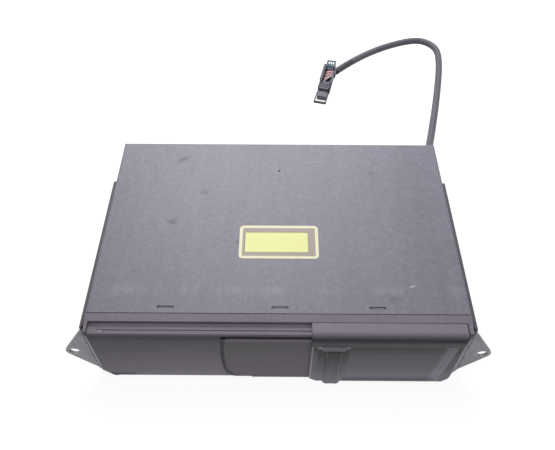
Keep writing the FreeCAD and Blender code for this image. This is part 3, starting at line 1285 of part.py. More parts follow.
def make_plug_housing():
    w, h = plug_width / 2, plug_height
    body = rounded(block(0, 46, -w, w, 0, h), 1.2, runs_x)
    neck = block(45, 52, -w + 1.0, w - 1.0, 0.8, h - 1.0)
    nose = rounded(block(50, 63, -w + 0.4, w - 0.4, 0.2, h - 0.4), 1.6, runs_x)
    ribs = [block(45.5 + 2.6 * i, 46.9 + 2.6 * i, -w + 0.3, w - 0.3, 0.4, h - 0.4) for i in range(2)]
    comb = [block(6 + 3 * i, 7.6 + 3 * i, -w - 1.0, -w + 1, 1, h - 2) for i in range(12)]
    plug = joined([body, neck, nose] + ribs + comb)
    well = prism([V(4, -w + 2, 4), V(4, w - 1.4, 4), V(22, w - 1.4, 4), V(40, -w + 4, 4),
                  V(40, -w + 2, 4)], V(0, 0, h))
    last, end = V(*cable_points[-2]), V(*cable_points[-1])
    inward = (end - last).normalize()
    entry = bar(cable_diameter / 2 + 0.2, last, end + inward * 2.0)
    return placed_plug(plug.cut(well)).cut(entry)


def make_plug_terminals():
    pins = [block(4.6, 9.0, -5.0 + 2.3 * i, -3.8 + 2.3 * i, 4.0, 9.5) for i in range(4)]
    return placed_plug(group(pins))


def make_plug_wires():
    """Insulated wires that fan out from the cable's end to the terminals."""
    wires = []
    ends = ((17.0, -4.6, 4.9), (22.0, -4.6, 5.6), (27.0, -4.6, 6.3), (32.0, -4.4, 7.0))
    for index, end in enumerate(ends):
        wires.append(bar(0.7, V(14.6 + 1.7 * index, 4.0, 4.9 + 0.7 * index), V(*end)))
    return placed_plug(group(wires))


def make_plug_lever():
    """A stiff loop: two legs from pivots on the nose, joined by a bar past the plug's end."""
    w, leg = plug_width / 2, 1.6
    y0, y1 = w - 0.4 + 0.25, w - 0.4 + 0.25 + leg
    z0, z1 = 4.2, 7.4
    pieces = []
    for side in (-1, 1):
        y = sorted((side * y0, side * y1))
        pieces.append(block(56, 74, y[0], y[1], z0, z1))
        pieces.append(bar(2.6, V(56, y[0], (z0 + z1) / 2), V(56, y[1], (z0 + z1) / 2)))
    pieces.append(rounded(block(71.5, 75, -y1, y1, z0 - 0.8, z1 + 0.8), 0.8, runs_y))
    return placed_plug(joined(pieces))


# ================================================================ label
def make_label():
    """A blank sticker on the cover."""
    y0 = y_seam + label_back
    label = block(-label_width / 2, label_width / 2, y0, y0 + label_depth, case_height,
                  case_height + label_film)
    return rounded(label, label_corner, runs_z)


# ================================================================ all pieces
def make_all():
    motor_pinion, middle_gear, rack_gear = make_lift_gears()
    pieces = {
        "top_cover": make_top_cover(), "bottom_chassis": make_chassis(),
        "cover_screws": make_cover_screws(), "left_bracket": make_bracket(-1),
        "right_bracket": make_bracket(1), "bracket_screws": make_bracket_screws(),
        "front_bezel": make_bezel(), "outer_door": make_door(), "inner_leaf": make_leaf(),
        "button_fascia": make_fascia(), "eject_button": make_button(), "eject_bar": make_eject_bar(),
        "kick_lever": make_kick_lever(), "magazine_case": make_magazine(), "magazine_bay": make_bay(),
        "mechanism_frame": make_frame(), "frame_dampers": make_dampers(),
        "lift_slider": make_slider(), "motor_pinion": motor_pinion, "middle_gear": middle_gear,
        "rack_gear": rack_gear, "gear_bracket": make_gear_bracket(), "lift_motor": make_lift_motor(),
        "lift_deck": make_deck(), "guide_rod": make_guide_rod(), "lead_screw": make_lead_screw(),
        "sled_motor": make_sled_motor(), "optical_pickup": make_pickup(), "pickup_lens": make_lens(),
        "spindle_motor": make_spindle_motor(), "turntable": make_turntable(),
        "clamp_pin": make_clamp_pin(), "clamp_arm": make_clamp_arm(), "clamp_puck": make_puck(),
        "control_board": make_board(), "board_chips": make_board_chips(),
        "board_capacitors": make_board_capacitors(),
        "board_sockets": make_board_sockets(), "cable_grommet": make_grommet(),
        "signal_cable": make_cable(), "plug_housing": make_plug_housing(),
        "plug_terminals": make_plug_terminals(), "plug_wires": make_plug_wires(),
        "plug_lever": make_plug_lever(), "blank_label": make_label(),
    }
    for level in range(tray_count):
        pieces["tray_" + str(level + 1)] = make_tray(level)
    return pieces


os.makedirs("parts", exist_ok=True)
for name, shape in make_all().items():
    shape.exportStep("parts/" + name + ".step")
    print(name, "solids", len(shape.Solids), "valid", shape.isValid(), "volume", round(shape.Volume, 1))
print("travel of door", round(door_travel, 3), "leaf", round(leaf_travel, 3), "tray", tray_travel,
      "deck", lift_travel, "pickup", pickup_travel, "magazine", eject_travel, "button", button_travel)
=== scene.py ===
import math

import bmesh
import bpy
from mathutils import Matrix, Vector


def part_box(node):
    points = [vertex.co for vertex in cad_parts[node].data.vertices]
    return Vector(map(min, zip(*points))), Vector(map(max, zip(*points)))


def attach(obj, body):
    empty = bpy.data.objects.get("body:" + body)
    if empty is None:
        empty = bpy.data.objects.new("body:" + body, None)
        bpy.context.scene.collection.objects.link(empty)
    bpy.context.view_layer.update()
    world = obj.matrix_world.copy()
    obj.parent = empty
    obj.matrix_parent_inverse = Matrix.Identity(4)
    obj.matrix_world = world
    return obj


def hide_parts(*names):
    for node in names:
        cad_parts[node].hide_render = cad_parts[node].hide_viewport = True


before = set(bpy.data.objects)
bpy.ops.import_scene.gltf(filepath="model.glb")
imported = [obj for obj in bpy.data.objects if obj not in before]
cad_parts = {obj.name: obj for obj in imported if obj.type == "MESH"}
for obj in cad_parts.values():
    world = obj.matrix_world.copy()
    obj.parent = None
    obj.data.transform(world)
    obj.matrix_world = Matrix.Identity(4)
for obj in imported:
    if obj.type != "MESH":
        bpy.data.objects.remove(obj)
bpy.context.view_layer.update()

# ---------------------------------------------------------------- camera
# Looks down at the changer from the front. Its place was worked out from the straight edges of the
# case, whose sizes are known.
FOCAL_PIXELS = 594.578
FRAME_WIDTH_PIXELS = 555
CAMERA_PLACE = (0.0003, -0.2682, 0.4071)
CAMERA_PITCH = math.radians(51.494)     # below the horizon
CAMERA_YAW = 0.005
CAMERA_ROLL = 0.002

camera_data = bpy.data.cameras.new("camera")
camera_data.sensor_width = 36.0
camera_data.lens = FOCAL_PIXELS * camera_data.sensor_width / FRAME_WIDTH_PIXELS
camera = bpy.data.objects.new("camera", camera_data)
bpy.context.scene.collection.objects.link(camera)
camera.matrix_world = (
    Matrix.Translation(CAMERA_PLACE)
    @ Matrix.Rotation(CAMERA_YAW, 4, "Z")
    @ Matrix.Rotation(math.pi / 2 - CAMERA_PITCH, 4, "X")
    @ Matrix.Rotation(CAMERA_ROLL, 4, "Z")
)
bpy.context.scene.camera = camera
bpy.context.scene.view_settings.view_transform = "Standard"

# ---------------------------------------------------------------- floor and light
# A pale sweep that shows white to the camera and keeps a faint shadow, under a large softbox that
# hangs behind the changer. A low card lights the front faces' foot, a weak lamp fills the front, and
# the room is dim round the horizon.
FLOOR_REACH = 6.0
FLOOR_DROP = 0.0004         # keeps it clear of what stands on it
SHADOW_NEAR, SHADOW_FAR = 0.14, 0.40    # between these distances the floor's own surface fades out
SHADOW_SHARE = 0.3          # how much of that surface shows, near the changer
FLOOR_NEAR_GREY, FLOOR_FAR_GREY = 0.93, 0.34
FLOOR_WHITE = 1.26          # strength of the white that shows in the rest
HORIZON_LIGHT, ZENITH_LIGHT = 0.03, 0.32
ZENITH_RISE = 0.85          # height on the sky's unit sphere where the light is full


class Wire:
    """An output socket in a node tree. Arithmetic on it adds Math nodes."""

    def __init__(self, nodes, socket):
        self.nodes = nodes
        self.socket = socket

    def math(self, operation, *values):
        return self.nodes.node("ShaderNodeMath", {"operation": operation}, dict(enumerate(values)))

    def __add__(self, other):
        return self.math("ADD", self, other)

    def __radd__(self, other):
        return self.math("ADD", other, self)

    def __sub__(self, other):
        return self.math("SUBTRACT", self, other)

    def __rsub__(self, other):
        return self.math("SUBTRACT", other, self)

    def __mul__(self, other):
        return self.math("MULTIPLY", self, other)

    def __rmul__(self, other):
        return self.math("MULTIPLY", other, self)

    def __truediv__(self, other):
        return self.math("DIVIDE", self, other)

    def __pow__(self, other):
        return self.math("POWER", self, other)

    def __abs__(self):
        return self.math("ABSOLUTE", self)

    def fraction(self):
        return self.math("FRACT", self)

    def clamped(self):
        return self.math("MAXIMUM", self.math("MINIMUM", self, 1.0), 0.0)


class Nodes:
    """A node tree, and the ways that the finishes and the light are built in it."""

    def __init__(self, tree):
        self.tree = tree

    def node(self, kind, settings=None, inputs=None, output=0):
        made = self.tree.nodes.new(kind)
        for key, value in (settings or {}).items():
            setattr(made, key, value)
        for key, value in (inputs or {}).items():
            self.feed(made.inputs[key], value)
        return Wire(self, made.outputs[output])

    def feed(self, socket, value):
        if isinstance(value, Wire):
            self.tree.links.new(value.socket, socket)
        else:
            socket.default_value = value

    def place(self):
        return self.node("ShaderNodeTexCoord", output="Object")

    def parts_of(self, vector):
        """The X, Y and Z of a vector."""
        return [self.node("ShaderNodeSeparateXYZ", None, {0: vector}, output=index) for index in range(3)]

    def stretched(self, factors):
        return self.node("ShaderNodeVectorMath", {"operation": "MULTIPLY"}, {0: self.place(), 1: factors})

    def away_from(self, point):
        """How far the surface is from a point."""
        gap = self.node("ShaderNodeVectorMath", {"operation": "SUBTRACT"}, {0: self.place(), 1: point})
        return self.node("ShaderNodeVectorMath", {"operation": "LENGTH"}, {0: gap}, output=1)

    def noise(self, scale, detail=2.0, rough=0.5, where=None):
        return self.node("ShaderNodeTexNoise", None, {"Vector": where or self.place(), "Scale": scale,
                                                      "Detail": detail, "Roughness": rough})

    def between(self, value, low, high):
        """Rises smoothly from 0 to 1 as value goes from low to high."""
        return self.node("ShaderNodeMapRange", {"interpolation_type": "SMOOTHSTEP"},
                         {"Value": value, "From Min": low, "From Max": high})

    def blend(self, amount, first, second):
        return self.node("ShaderNodeMix", {"data_type": "RGBA"},
                         {"Factor": amount, 6: first, 7: second}, output=2)

    def level(self, value, *stops):
        """A level that follows stops, which are pairs of a value and the level there."""
        found = stops[0][1]
        for (start, low), (end, high) in zip(stops, stops[1:]):
            step = self.node("ShaderNodeMapRange", None,
                             {"Value": value, "From Min": start, "From Max": end})
            found = step * (high - low) + found
        return found

    def shaded(self, colour, amount):
        """A colour made darker or paler by an amount."""
        return self.node("ShaderNodeVectorMath", {"operation": "SCALE"}, {0: colour, "Scale": amount})

    def seen_directly(self):
        """1 for camera rays and for rays that bring a reflection or pass through glass."""
        rays = [self.node("ShaderNodeLightPath", output=kind)
                for kind in ("Is Camera Ray", "Is Glossy Ray", "Is Transmission Ray")]
        return rays[0].math("MAXIMUM", rays[0].math("MAXIMUM", rays[0], rays[1]), rays[2])


class Finish(Nodes):
    """A procedural material: one Principled shader and the nodes that feed it."""

    def __init__(self, name, roughness=0.5, metallic=0.0, **fixed):
        self.material = bpy.data.materials.new(name)
        self.material.use_nodes = True
        super().__init__(self.material.node_tree)
        self.shader = self.tree.nodes["Principled BSDF"]
        self.shader.inputs["Roughness"].default_value = roughness
        self.shader.inputs["Metallic"].default_value = metallic
        for socket, value in fixed.items():
            self.shader.inputs[socket.replace("_", " ")].default_value = value

    def set(self, socket, value):
        self.feed(self.shader.inputs[socket], value)

    def bump(self, height, distance, strength=1.0):
        self.set("Normal", self.node("ShaderNodeBump", None, {"Height": height, "Distance": distance,
                                                               "Strength": strength}))


def thing_from(name, data):
    """A new object in the scene that holds a mesh, a curve or a light."""
    thing = bpy.data.objects.new(name, data)
    bpy.context.scene.collection.objects.link(thing)
    return thing


floor_mesh = bpy.data.meshes.new("floor")
floor_corners = [(x * FLOOR_REACH, y * FLOOR_REACH, 0) for x, y in ((-1, -1), (1, -1), (1, 1), (-1, 1))]
floor_mesh.from_pydata(floor_corners, [], [(0, 1, 2, 3)])
floor = thing_from("floor", floor_mesh)
floor.location.z = -FLOOR_DROP
paper = Finish("floor_paper", 0.9)
nearness = 1 - paper.between(paper.away_from((0, 0, 0)), SHADOW_NEAR, SHADOW_FAR)
paper.set("Base Color", paper.blend(nearness, (FLOOR_FAR_GREY, FLOOR_FAR_GREY, FLOOR_FAR_GREY, 1),
                                    (FLOOR_NEAR_GREY, FLOOR_NEAR_GREY, FLOOR_NEAR_GREY, 1)))
white = paper.node("ShaderNodeEmission", None, {"Color": (1, 1, 1, 1), "Strength": FLOOR_WHITE})
shown = paper.seen_directly() * (1 - nearness * SHADOW_SHARE)
surface = paper.node("ShaderNodeMixShader", None,
                     {0: shown, 1: Wire(paper, paper.shader.outputs[0]), 2: white})
paper.feed(paper.tree.nodes["Material Output"].inputs["Surface"], surface)
floor_mesh.materials.append(paper.material)

world = bpy.data.worlds.new("room")
bpy.context.scene.world = world
world.use_nodes = True
room = Nodes(world.node_tree)
upward = room.parts_of(room.node("ShaderNodeTexCoord", output="Generated"))[2]
own = room.between(upward, 0.0, ZENITH_RISE) * (ZENITH_LIGHT - HORIZON_LIGHT) + HORIZON_LIGHT
sky = world.node_tree.nodes["Background"]
room.feed(sky.inputs["Color"], (1, 1, 1, 1))
room.feed(sky.inputs["Strength"], own + room.seen_directly() * (1 - own))


def lamp(name, place, target, width, depth, power):
    """A rectangular lamp that faces its target."""
    data = bpy.data.lights.new(name, "AREA")
    data.shape = "RECTANGLE"
    data.size, data.size_y = width, depth
    data.energy = power
    thing = thing_from(name, data)
    thing.location = place
    thing.rotation_mode = "QUATERNION"
    thing.rotation_quaternion = (Vector(target) - Vector(place)).to_track_quat("-Z", "Y")


lamp("softbox", place=(-0.06, 0.66, 0.8), target=(0, 0.1, 0), width=0.6, depth=0.6, power=6.5)
lamp("bounce_card", place=(0, -0.15, 0.014), target=(0, -0.086, 0.016), width=0.3, depth=0.018, power=0.035)
lamp("front_fill", place=(-0.3, -0.8, 0.8), target=(0, 0, 0.03), width=0.7, depth=0.7, power=0.35)

# ---------------------------------------------------------------- chassis and sheet-metal frames
# The tray of zinc-plated sheet steel that everything inside stands on, with the magazine's bay and
# the playback unit's frame, deck, slider and arms. All are stamped and folded from the same stock.


def tone(red, green, blue):
    """A colour as Blender wants it, from 0 to 255 values on a screen."""
    def linear(value):
        share = value / 255
        return share / 12.92 if share <= 0.04045 else ((share + 0.055) / 1.055) ** 2.4
    return (linear(red), linear(green), linear(blue), 1.0)


def dress(node, material):
    """Gives a CAD node's object its finish."""
    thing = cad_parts[node]
    thing.data.materials.clear()
    thing.data.materials.append(material)


def plated(name, dark, light, roughness, brushed=(1.0, 0.06, 1.0), metallic=0.85):
    """Plated sheet steel: fine drawn lines one way, and the blotches of the plating."""
    finish = Finish(name, roughness, metallic)
    lines = finish.noise(900.0, 2.0, where=finish.stretched(brushed))
    blotch = finish.noise(40.0, 3.0)
    finish.set("Base Color", finish.blend((lines * 0.5 + blotch * 0.5).clamped(), dark, light))
    finish.set("Roughness", (lines - 0.5) * 0.22 + roughness)
    finish.bump(lines, 0.00002, 0.4)
    return finish.material


zinc = plated("zinc_sheet", tone(126, 128, 130), tone(174, 175, 174), 0.4)
for node in ("bottom_chassis", "magazine_bay", "mechanism_frame", "lift_slider", "gear_bracket",
             "lift_deck", "clamp_arm", "eject_bar", "kick_lever"):
    dress(node, zinc)

# ---------------------------------------------------------------- rubber mounts
# Four moulded rubber grommets carry the frame's base. Each has a foot under the sheet, a waist
# through it and a bore for the chassis's pin.
MOUNT_RADIUS = 0.005
MOUNT_WAIST = 0.003
MOUNT_BORE = 0.00156
MOUNT_RIM = 0.0004          # chamfer of its edges
FOOT_SHARE = 0.47           # of the mount's height


def lathed(name, profile, sides, closed=True):
    """A mesh turned about Z from points of (radius, height)."""
    mesh = bmesh.new()
    rings = []
    for radius, height in profile:
        rings.append([mesh.verts.new((radius * math.cos(2 * math.pi * step / sides),
                                      radius * math.sin(2 * math.pi * step / sides), height))
                      for step in range(sides)])
    pairs = list(zip(rings, rings[1:])) + ([(rings[-1], rings[0])] if closed else [])
    for lower, upper in pairs:
        for step in range(sides):
            after = (step + 1) % sides
            mesh.faces.new((lower[step], lower[after], upper[after], upper[step]))
    if not closed:
        mesh.faces.new(rings[0][::-1])
        mesh.faces.new(rings[-1])
    data = bpy.data.meshes.new(name)
    bmesh.ops.recalc_face_normals(mesh, faces=mesh.faces)
    mesh.to_mesh(data)
    mesh.free()
    return data


def gathered(name, mesh, placements, smooth=40):
    """One object with a copy of a mesh at each placement."""
    whole = bmesh.new()
    for placement in placements:
        one = mesh.copy()
        one.transform(placement)
        whole.from_mesh(one)
        bpy.data.meshes.remove(one)
    data = bpy.data.meshes.new(name)
    whole.to_mesh(data)
    whole.free()
    data.shade_smooth()
    data.set_sharp_from_angle(angle=math.radians(smooth))
    return thing_from(name, data)


def moulded(name, dark, light, roughness, grain=2600.0, depth=0.00004, patch=22.0, **fixed):
    """A moulded plastic: a fine spark-eroded grain, cloudy tone, and gloss that varies a little."""
    finish = Finish(name, roughness, **fixed)
    cloud = finish.noise(patch, 3.0, 0.6)
    speck = finish.noise(grain, 1.0)
    finish.set("Base Color", finish.blend((cloud * 0.75 + speck * 0.25).clamped(), dark, light))
    finish.set("Roughness", (cloud - 0.5) * 0.14 + roughness)
    finish.bump(speck, depth, 0.6)
    return finish.material


rubber = moulded("soft_rubber", tone(28, 28, 30), tone(44, 44, 46), 0.75, grain=1200.0)
mounts_low, mounts_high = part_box("frame_dampers")
mount_height = mounts_high[2] - mounts_low[2]
foot_height = mount_height * FOOT_SHARE
mount_profile = [(MOUNT_BORE, 0), (MOUNT_RADIUS - MOUNT_RIM, 0), (MOUNT_RADIUS, MOUNT_RIM),
                 (MOUNT_RADIUS, foot_height - MOUNT_RIM), (MOUNT_RADIUS - MOUNT_RIM, foot_height),
                 (MOUNT_WAIST, foot_height), (MOUNT_WAIST, mount_height - MOUNT_RIM),
                 (MOUNT_WAIST - MOUNT_RIM, mount_height), (MOUNT_BORE, mount_height)]
mount_places = [(x, y) for x in (mounts_low[0] + MOUNT_RADIUS, mounts_high[0] - MOUNT_RADIUS)
                for y in (mounts_low[1] + MOUNT_RADIUS, mounts_high[1] - MOUNT_RADIUS)]
mounts = gathered("rubber_mounts", lathed("mount", mount_profile, 28),
                  [Matrix.Translation((x, y, mounts_low[2])) for x, y in mount_places])
mounts.data.materials.append(rubber)
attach(mounts, "case")
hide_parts("frame_dampers")

# ---------------------------------------------------------------- gears
# Moulded in white acetal, which needs no grease. Their teeth are in the solids, and the finish adds
# the mould's fine grain and a slightly cloudy tone.
acetal = moulded("white_acetal", tone(214, 211, 200), tone(232, 229, 220), 0.38, patch=60.0)
for node in ("middle_gear", "rack_gear", "motor_pinion", "clamp_puck", "board_sockets"):
    dress(node, acetal)

# ---------------------------------------------------------------- lead screw and rods
# The screw that drives the pickup's sled is rolled steel with a 3 mm thread. The guide rod beside it
# and the clamp arm's pin are ground and polished.
THREAD_PITCH, THREAD_DEPTH = 0.003, 0.0004
THREAD_SIDES = 16
THREAD_STEP = 0.0003        # length of a row of faces
FLANK_STEEPNESS, CREST_WIDTH = 2.4, 0.7     # shape of the thread's section
PLAIN_END = 0.004           # the thread runs out over this length at each end

ground = plated("ground_steel", tone(184, 185, 188), tone(214, 215, 218), 0.2, (0.05, 1.0, 1.0), 1.0)
for node in ("guide_rod", "clamp_pin"):
    dress(node, ground)
screw_low, screw_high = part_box("lead_screw")
screw_radius = (screw_high[2] - screw_low[2]) / 2
screw_length = screw_high[0] - screw_low[0]
thread_rows = int(screw_length / THREAD_STEP)
thread = bmesh.new()
rings = []
for row in range(thread_rows + 1):
    along = row * screw_length / thread_rows
    ring = []
    for step in range(THREAD_SIDES):
        turn = step / THREAD_SIDES
        phase = (along / THREAD_PITCH - turn) % 1.0
        root = THREAD_DEPTH * min(1.0, max(0.0, FLANK_STEEPNESS * abs(2 * phase - 1) - CREST_WIDTH))
        run_out = min(1.0, along / PLAIN_END, (screw_length - along) / PLAIN_END)
        radius = screw_radius - root * max(0.0, run_out)
        angle = 2 * math.pi * turn
        ring.append(thread.verts.new((along, radius * math.cos(angle), radius * math.sin(angle))))
    rings.append(ring)
for before, after in zip(rings, rings[1:]):
    for step in range(THREAD_SIDES):
        beside = (step + 1) % THREAD_SIDES
        thread.faces.new((before[step], after[step], after[beside], before[beside]))
thread.faces.new(rings[0])
thread.faces.new(rings[-1][::-1])
bmesh.ops.recalc_face_normals(thread, faces=thread.faces)
thread_mesh = bpy.data.meshes.new("threaded_screw")
thread.to_mesh(thread_mesh)
thread.free()
threaded = gathered("threaded_screw", thread_mesh, [Matrix.Translation(
    (screw_low[0], (screw_low[1] + screw_high[1]) / 2, (screw_low[2] + screw_high[2]) / 2))], 50)
threaded.data.materials.append(ground)
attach(threaded, "lead_screw")
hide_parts("lead_screw")

# ---------------------------------------------------------------- motors, turntable and pickup
# Motor cans are drawn steel. The turntable is black with a rubber ring that grips the disc, and the
# pickup's frame is grey with a small glass lens.
can = plated("motor_can", tone(166, 168, 172), tone(206, 207, 210), 0.3, (1.0, 1.0, 0.08), 1.0)
for node in ("lift_motor", "sled_motor", "spindle_motor", "board_capacitors"):
    dress(node, can)

table_low, table_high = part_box("turntable")
TABLE_RING = 0.0105         # inner radius of the rubber ring
ringed = Finish("turntable_plastic", 0.45)
centre = ((table_low[0] + table_high[0]) / 2, (table_low[1] + table_high[1]) / 2, table_high[2])
on_ring = ringed.between(ringed.away_from(centre), TABLE_RING, TABLE_RING + 0.0002)
speck = ringed.noise(2200.0, 1.0)
ringed.set("Base Color", ringed.blend(on_ring, tone(58, 58, 62), ringed.blend(speck, tone(22, 22, 24),
                                                                            tone(34, 34, 36))))
ringed.set("Roughness", on_ring * 0.3 + speck * 0.1 + 0.38)
ringed.bump(speck, 0.00003, 0.5)
dress("turntable", ringed.material)
dress("optical_pickup", moulded("pickup_plastic", tone(66, 66, 70), tone(86, 86, 90), 0.45))
dress("pickup_lens", moulded("lens_glass", tone(120, 134, 150), tone(150, 166, 184), 0.06, depth=0.0,
                             Transmission_Weight=0.7))

# ---------------------------------------------------------------- control board
# A green board on the chassis floor. Copper tracks run under its solder mask and end in tinned
# pads, with black packages and two white sockets on top.
TRACKS_PER_METRE = 1300.0
PATCH_SCALE, PAD_SCALE = 70.0, 160.0    # of the patches that tracks run one way in, and of the pads
board = Finish("solder_mask", 0.34)
patches = board.node("ShaderNodeTexVoronoi", {"distance": "CHEBYCHEV"},
                     {"Vector": board.place(), "Scale": PATCH_SCALE}, output="Color")
way = board.parts_of(patches)[0]
across, back = board.parts_of(board.place())[:2]
runs = [abs((line * TRACKS_PER_METRE).fraction() - 0.5) for line in (across, back)]
pick = board.between(way, 0.48, 0.52)
track = board.between(runs[0] * pick + runs[1] * (1 - pick), 0.2, 0.26)
grid = board.node("ShaderNodeTexVoronoi", None, {"Vector": board.place(), "Scale": PAD_SCALE})
pad = 1 - board.between(grid, 0.16, 0.2)
mask = board.blend(track, tone(24, 86, 52), tone(40, 112, 66))
board.set("Base Color", board.blend(pad, mask, tone(196, 198, 196)))
board.set("Metallic", pad * 0.8)
board.set("Roughness", board.noise(60.0, 2.0) * 0.12 + 0.28)
board.bump(track * 0.5 + pad, 0.00004, 0.5)
dress("control_board", board.material)

CHIP_LEAD_TOP = 0.0058      # the leads end this high, under the packages
package = Finish("chip_epoxy", 0.6)
height = package.parts_of(package.place())[2]
lead = 1 - package.between(height, CHIP_LEAD_TOP, CHIP_LEAD_TOP + 0.00005)
dust = package.noise(900.0, 2.0)
package.set("Base Color", package.blend(lead, package.blend(dust, tone(30, 30, 32), tone(46, 46, 48)),
                                        tone(188, 188, 190)))
package.set("Metallic", lead * 0.9)
package.set("Roughness", dust * 0.16 + 0.52)
package.bump(dust, 0.00002, 0.5)
dress("board_chips", package.material)

# ---------------------------------------------------------------- magazine and trays
# The magazine is a black moulded box. Each tray is a thin grey moulding with a disc-sized recess,
# scuffed in arcs by the discs that have turned in it.
dress("magazine_case", moulded("magazine_plastic", tone(44, 44, 48), tone(60, 60, 65), 0.5))
tray_low, tray_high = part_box("tray_1")
ARCS_PER_METRE = 900.0
tray_plastic = Finish("tray_plastic", 0.46)
disc_centre = ((tray_low[0] + tray_high[0]) / 2, (tray_low[1] + tray_high[1]) / 2, 0.0)
flat = tray_plastic.stretched((1.0, 1.0, 0.0))
gap = tray_plastic.node("ShaderNodeVectorMath", {"operation": "DISTANCE"},
                        {0: flat, 1: disc_centre}, output=1)
arcs = tray_plastic.noise(1.0, 2.0, where=tray_plastic.node(
    "ShaderNodeCombineXYZ", None, {0: gap * ARCS_PER_METRE, 1: tray_plastic.noise(14.0, 1.0) * 3.0}))
cloud = tray_plastic.noise(26.0, 3.0)
tray_plastic.set("Base Color", tray_plastic.blend((arcs * 0.4 + cloud * 0.6).clamped(),
                                                  tone(118, 118, 122), tone(144, 144, 149)))
tray_plastic.set("Roughness", arcs * 0.14 + 0.4)
tray_plastic.bump(tray_plastic.noise(2400.0, 1.0), 0.00003, 0.5)
for number in range(1, 7):
    dress("tray_%d" % number, tray_plastic.material)

# ---------------------------------------------------------------- moulded front
# The bezel is one dark grey moulding with a fine grain. Its colour carries painted light and shade by
# height: the face is paler toward the foot and darkest just under the rail, and its top surfaces are
# paler. Painted light lifts the two grooves that the door and the leaf slide in, painted highlights run
# down its ends and painted shade darkens the small pocket at its lower left. The fascia behind the
# mouth is the same plastic, and the button is a paler one.
bezel_low, bezel_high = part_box("front_bezel")
RAIL_Z = bezel_high[2] - 0.0025
FACE_BEVEL = 0.0012         # of the bezel's front edge
FACE_LIGHT_AND_SHADE = ((0.001, 1.45), (0.012, 1.02), (0.04, 0.68), (0.0545, 0.5),
               (0.0575, 0.24), (0.0618, 0.2), (0.0628, 1.0))    # painted light and shade: how pale the face is at each height
# painted light: how much paler the bezel's top surfaces are
TOP_LIGHT_LEVEL = 1.52
BEZEL_HIGHLIGHT_START = bezel_high[0] - 0.0030      # where the painted highlight on its ends begins
HIGHLIGHT_DEPTH = 0.006           # how far back from the face the painted highlight reaches
GROOVE_START, GROOVE_LIGHT_HEIGHT = 0.0022, 0.0006  # where the grooves start behind the face; height of the painted light on their sides
POCKET = (-0.1108, 0.00875, 0.0059, 0.0027)     # the pocket's middle and half size, along X and up, that painted shade darkens


def handled(name, dark, light, roughness, patch=20.0):
    """The front's plastic before its painted light and shade: grain, cloudy tone and fine scuffs."""
    finish = Finish(name, roughness, Specular_IOR_Level=0.2)
    cloud = finish.noise(patch, 3.0, 0.6)
    speck = finish.noise(1100.0, 2.0, 0.6)
    grain = finish.noise(420.0, 3.0, 0.6)
    scuff = finish.between(finish.noise(90.0, 5.0, 0.7, where=finish.stretched((0.35, 1.0, 1.0))),
                           0.62, 0.72)
    tint = (cloud * 0.3 + grain * 0.35 + speck * 0.35 - 0.5) * 2.0 + 0.5
    base = finish.blend(tint.clamped(), dark, light)
    finish.set("Roughness", ((cloud - 0.5) * 0.14 + scuff * 0.1 + roughness).clamped())
    finish.bump(finish.noise(2600.0, 1.0), 0.00004, 0.6)
    return finish, finish.blend((scuff * 0.22).clamped(), base, tone(150, 147, 153))


front, base = handled("front_plastic", tone(96, 91, 99), tone(130, 125, 135), 0.55)
across, back, up = front.parts_of(front.place())
behind_face = front.between(back, bezel_low[1] + GROOVE_START, bezel_low[1] + GROOVE_START + 0.0004)
groove_light = (1 - front.between(up, RAIL_Z - GROOVE_LIGHT_HEIGHT, RAIL_Z - 0.0001)) * behind_face
# painted light that makes the two grooves paler than their shade
base = front.blend(groove_light * 0.7, base, tone(176, 171, 183))
upright = 1 - front.between(back, bezel_low[1] + FACE_BEVEL, bezel_low[1] + FACE_BEVEL + 0.0004)
# painted light and shade: the face follows its height, and the top surfaces are paler
base = front.shaded(base, upright * front.level(up, *FACE_LIGHT_AND_SHADE) + (1 - upright) * TOP_LIGHT_LEVEL)
# painted highlights along the bezel's two ends
end_highlight = (front.between(abs(across), BEZEL_HIGHLIGHT_START, BEZEL_HIGHLIGHT_START + 0.0006)
          * (1 - front.between(back, bezel_low[1] + HIGHLIGHT_DEPTH, bezel_low[1] + HIGHLIGHT_DEPTH + 0.001))
          * (1 - front.between(up, RAIL_Z - 0.003, RAIL_Z)))
base = front.blend((end_highlight * 0.8).clamped(), base, tone(214, 208, 216))
# painted shade in the pocket at the lower left
pocket_shade = ((1 - front.between(abs(across - POCKET[0]), POCKET[1] - 0.0003, POCKET[1] + 0.0003))
             * (1 - front.between(abs(up - POCKET[2]), POCKET[3] - 0.0003, POCKET[3] + 0.0003)))
base = front.blend((pocket_shade * 0.28).clamped(), base, tone(58, 54, 60))
front.set("Base Color", base)
for node in ("front_bezel", "button_fascia"):
    dress(node, front.material)
dress("eject_button", moulded("button_plastic", tone(120, 120, 124), tone(142, 142, 146), 0.45))

# ---------------------------------------------------------------- inner leaf
# A thin flat moulding that the door draws along. Painted shade lies in a dark line down its curved left
# edge and in the margin round its raised middle; its face is painted darker upward, and painted light
# makes its top pale.
leaf_low, leaf_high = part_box("inner_leaf")
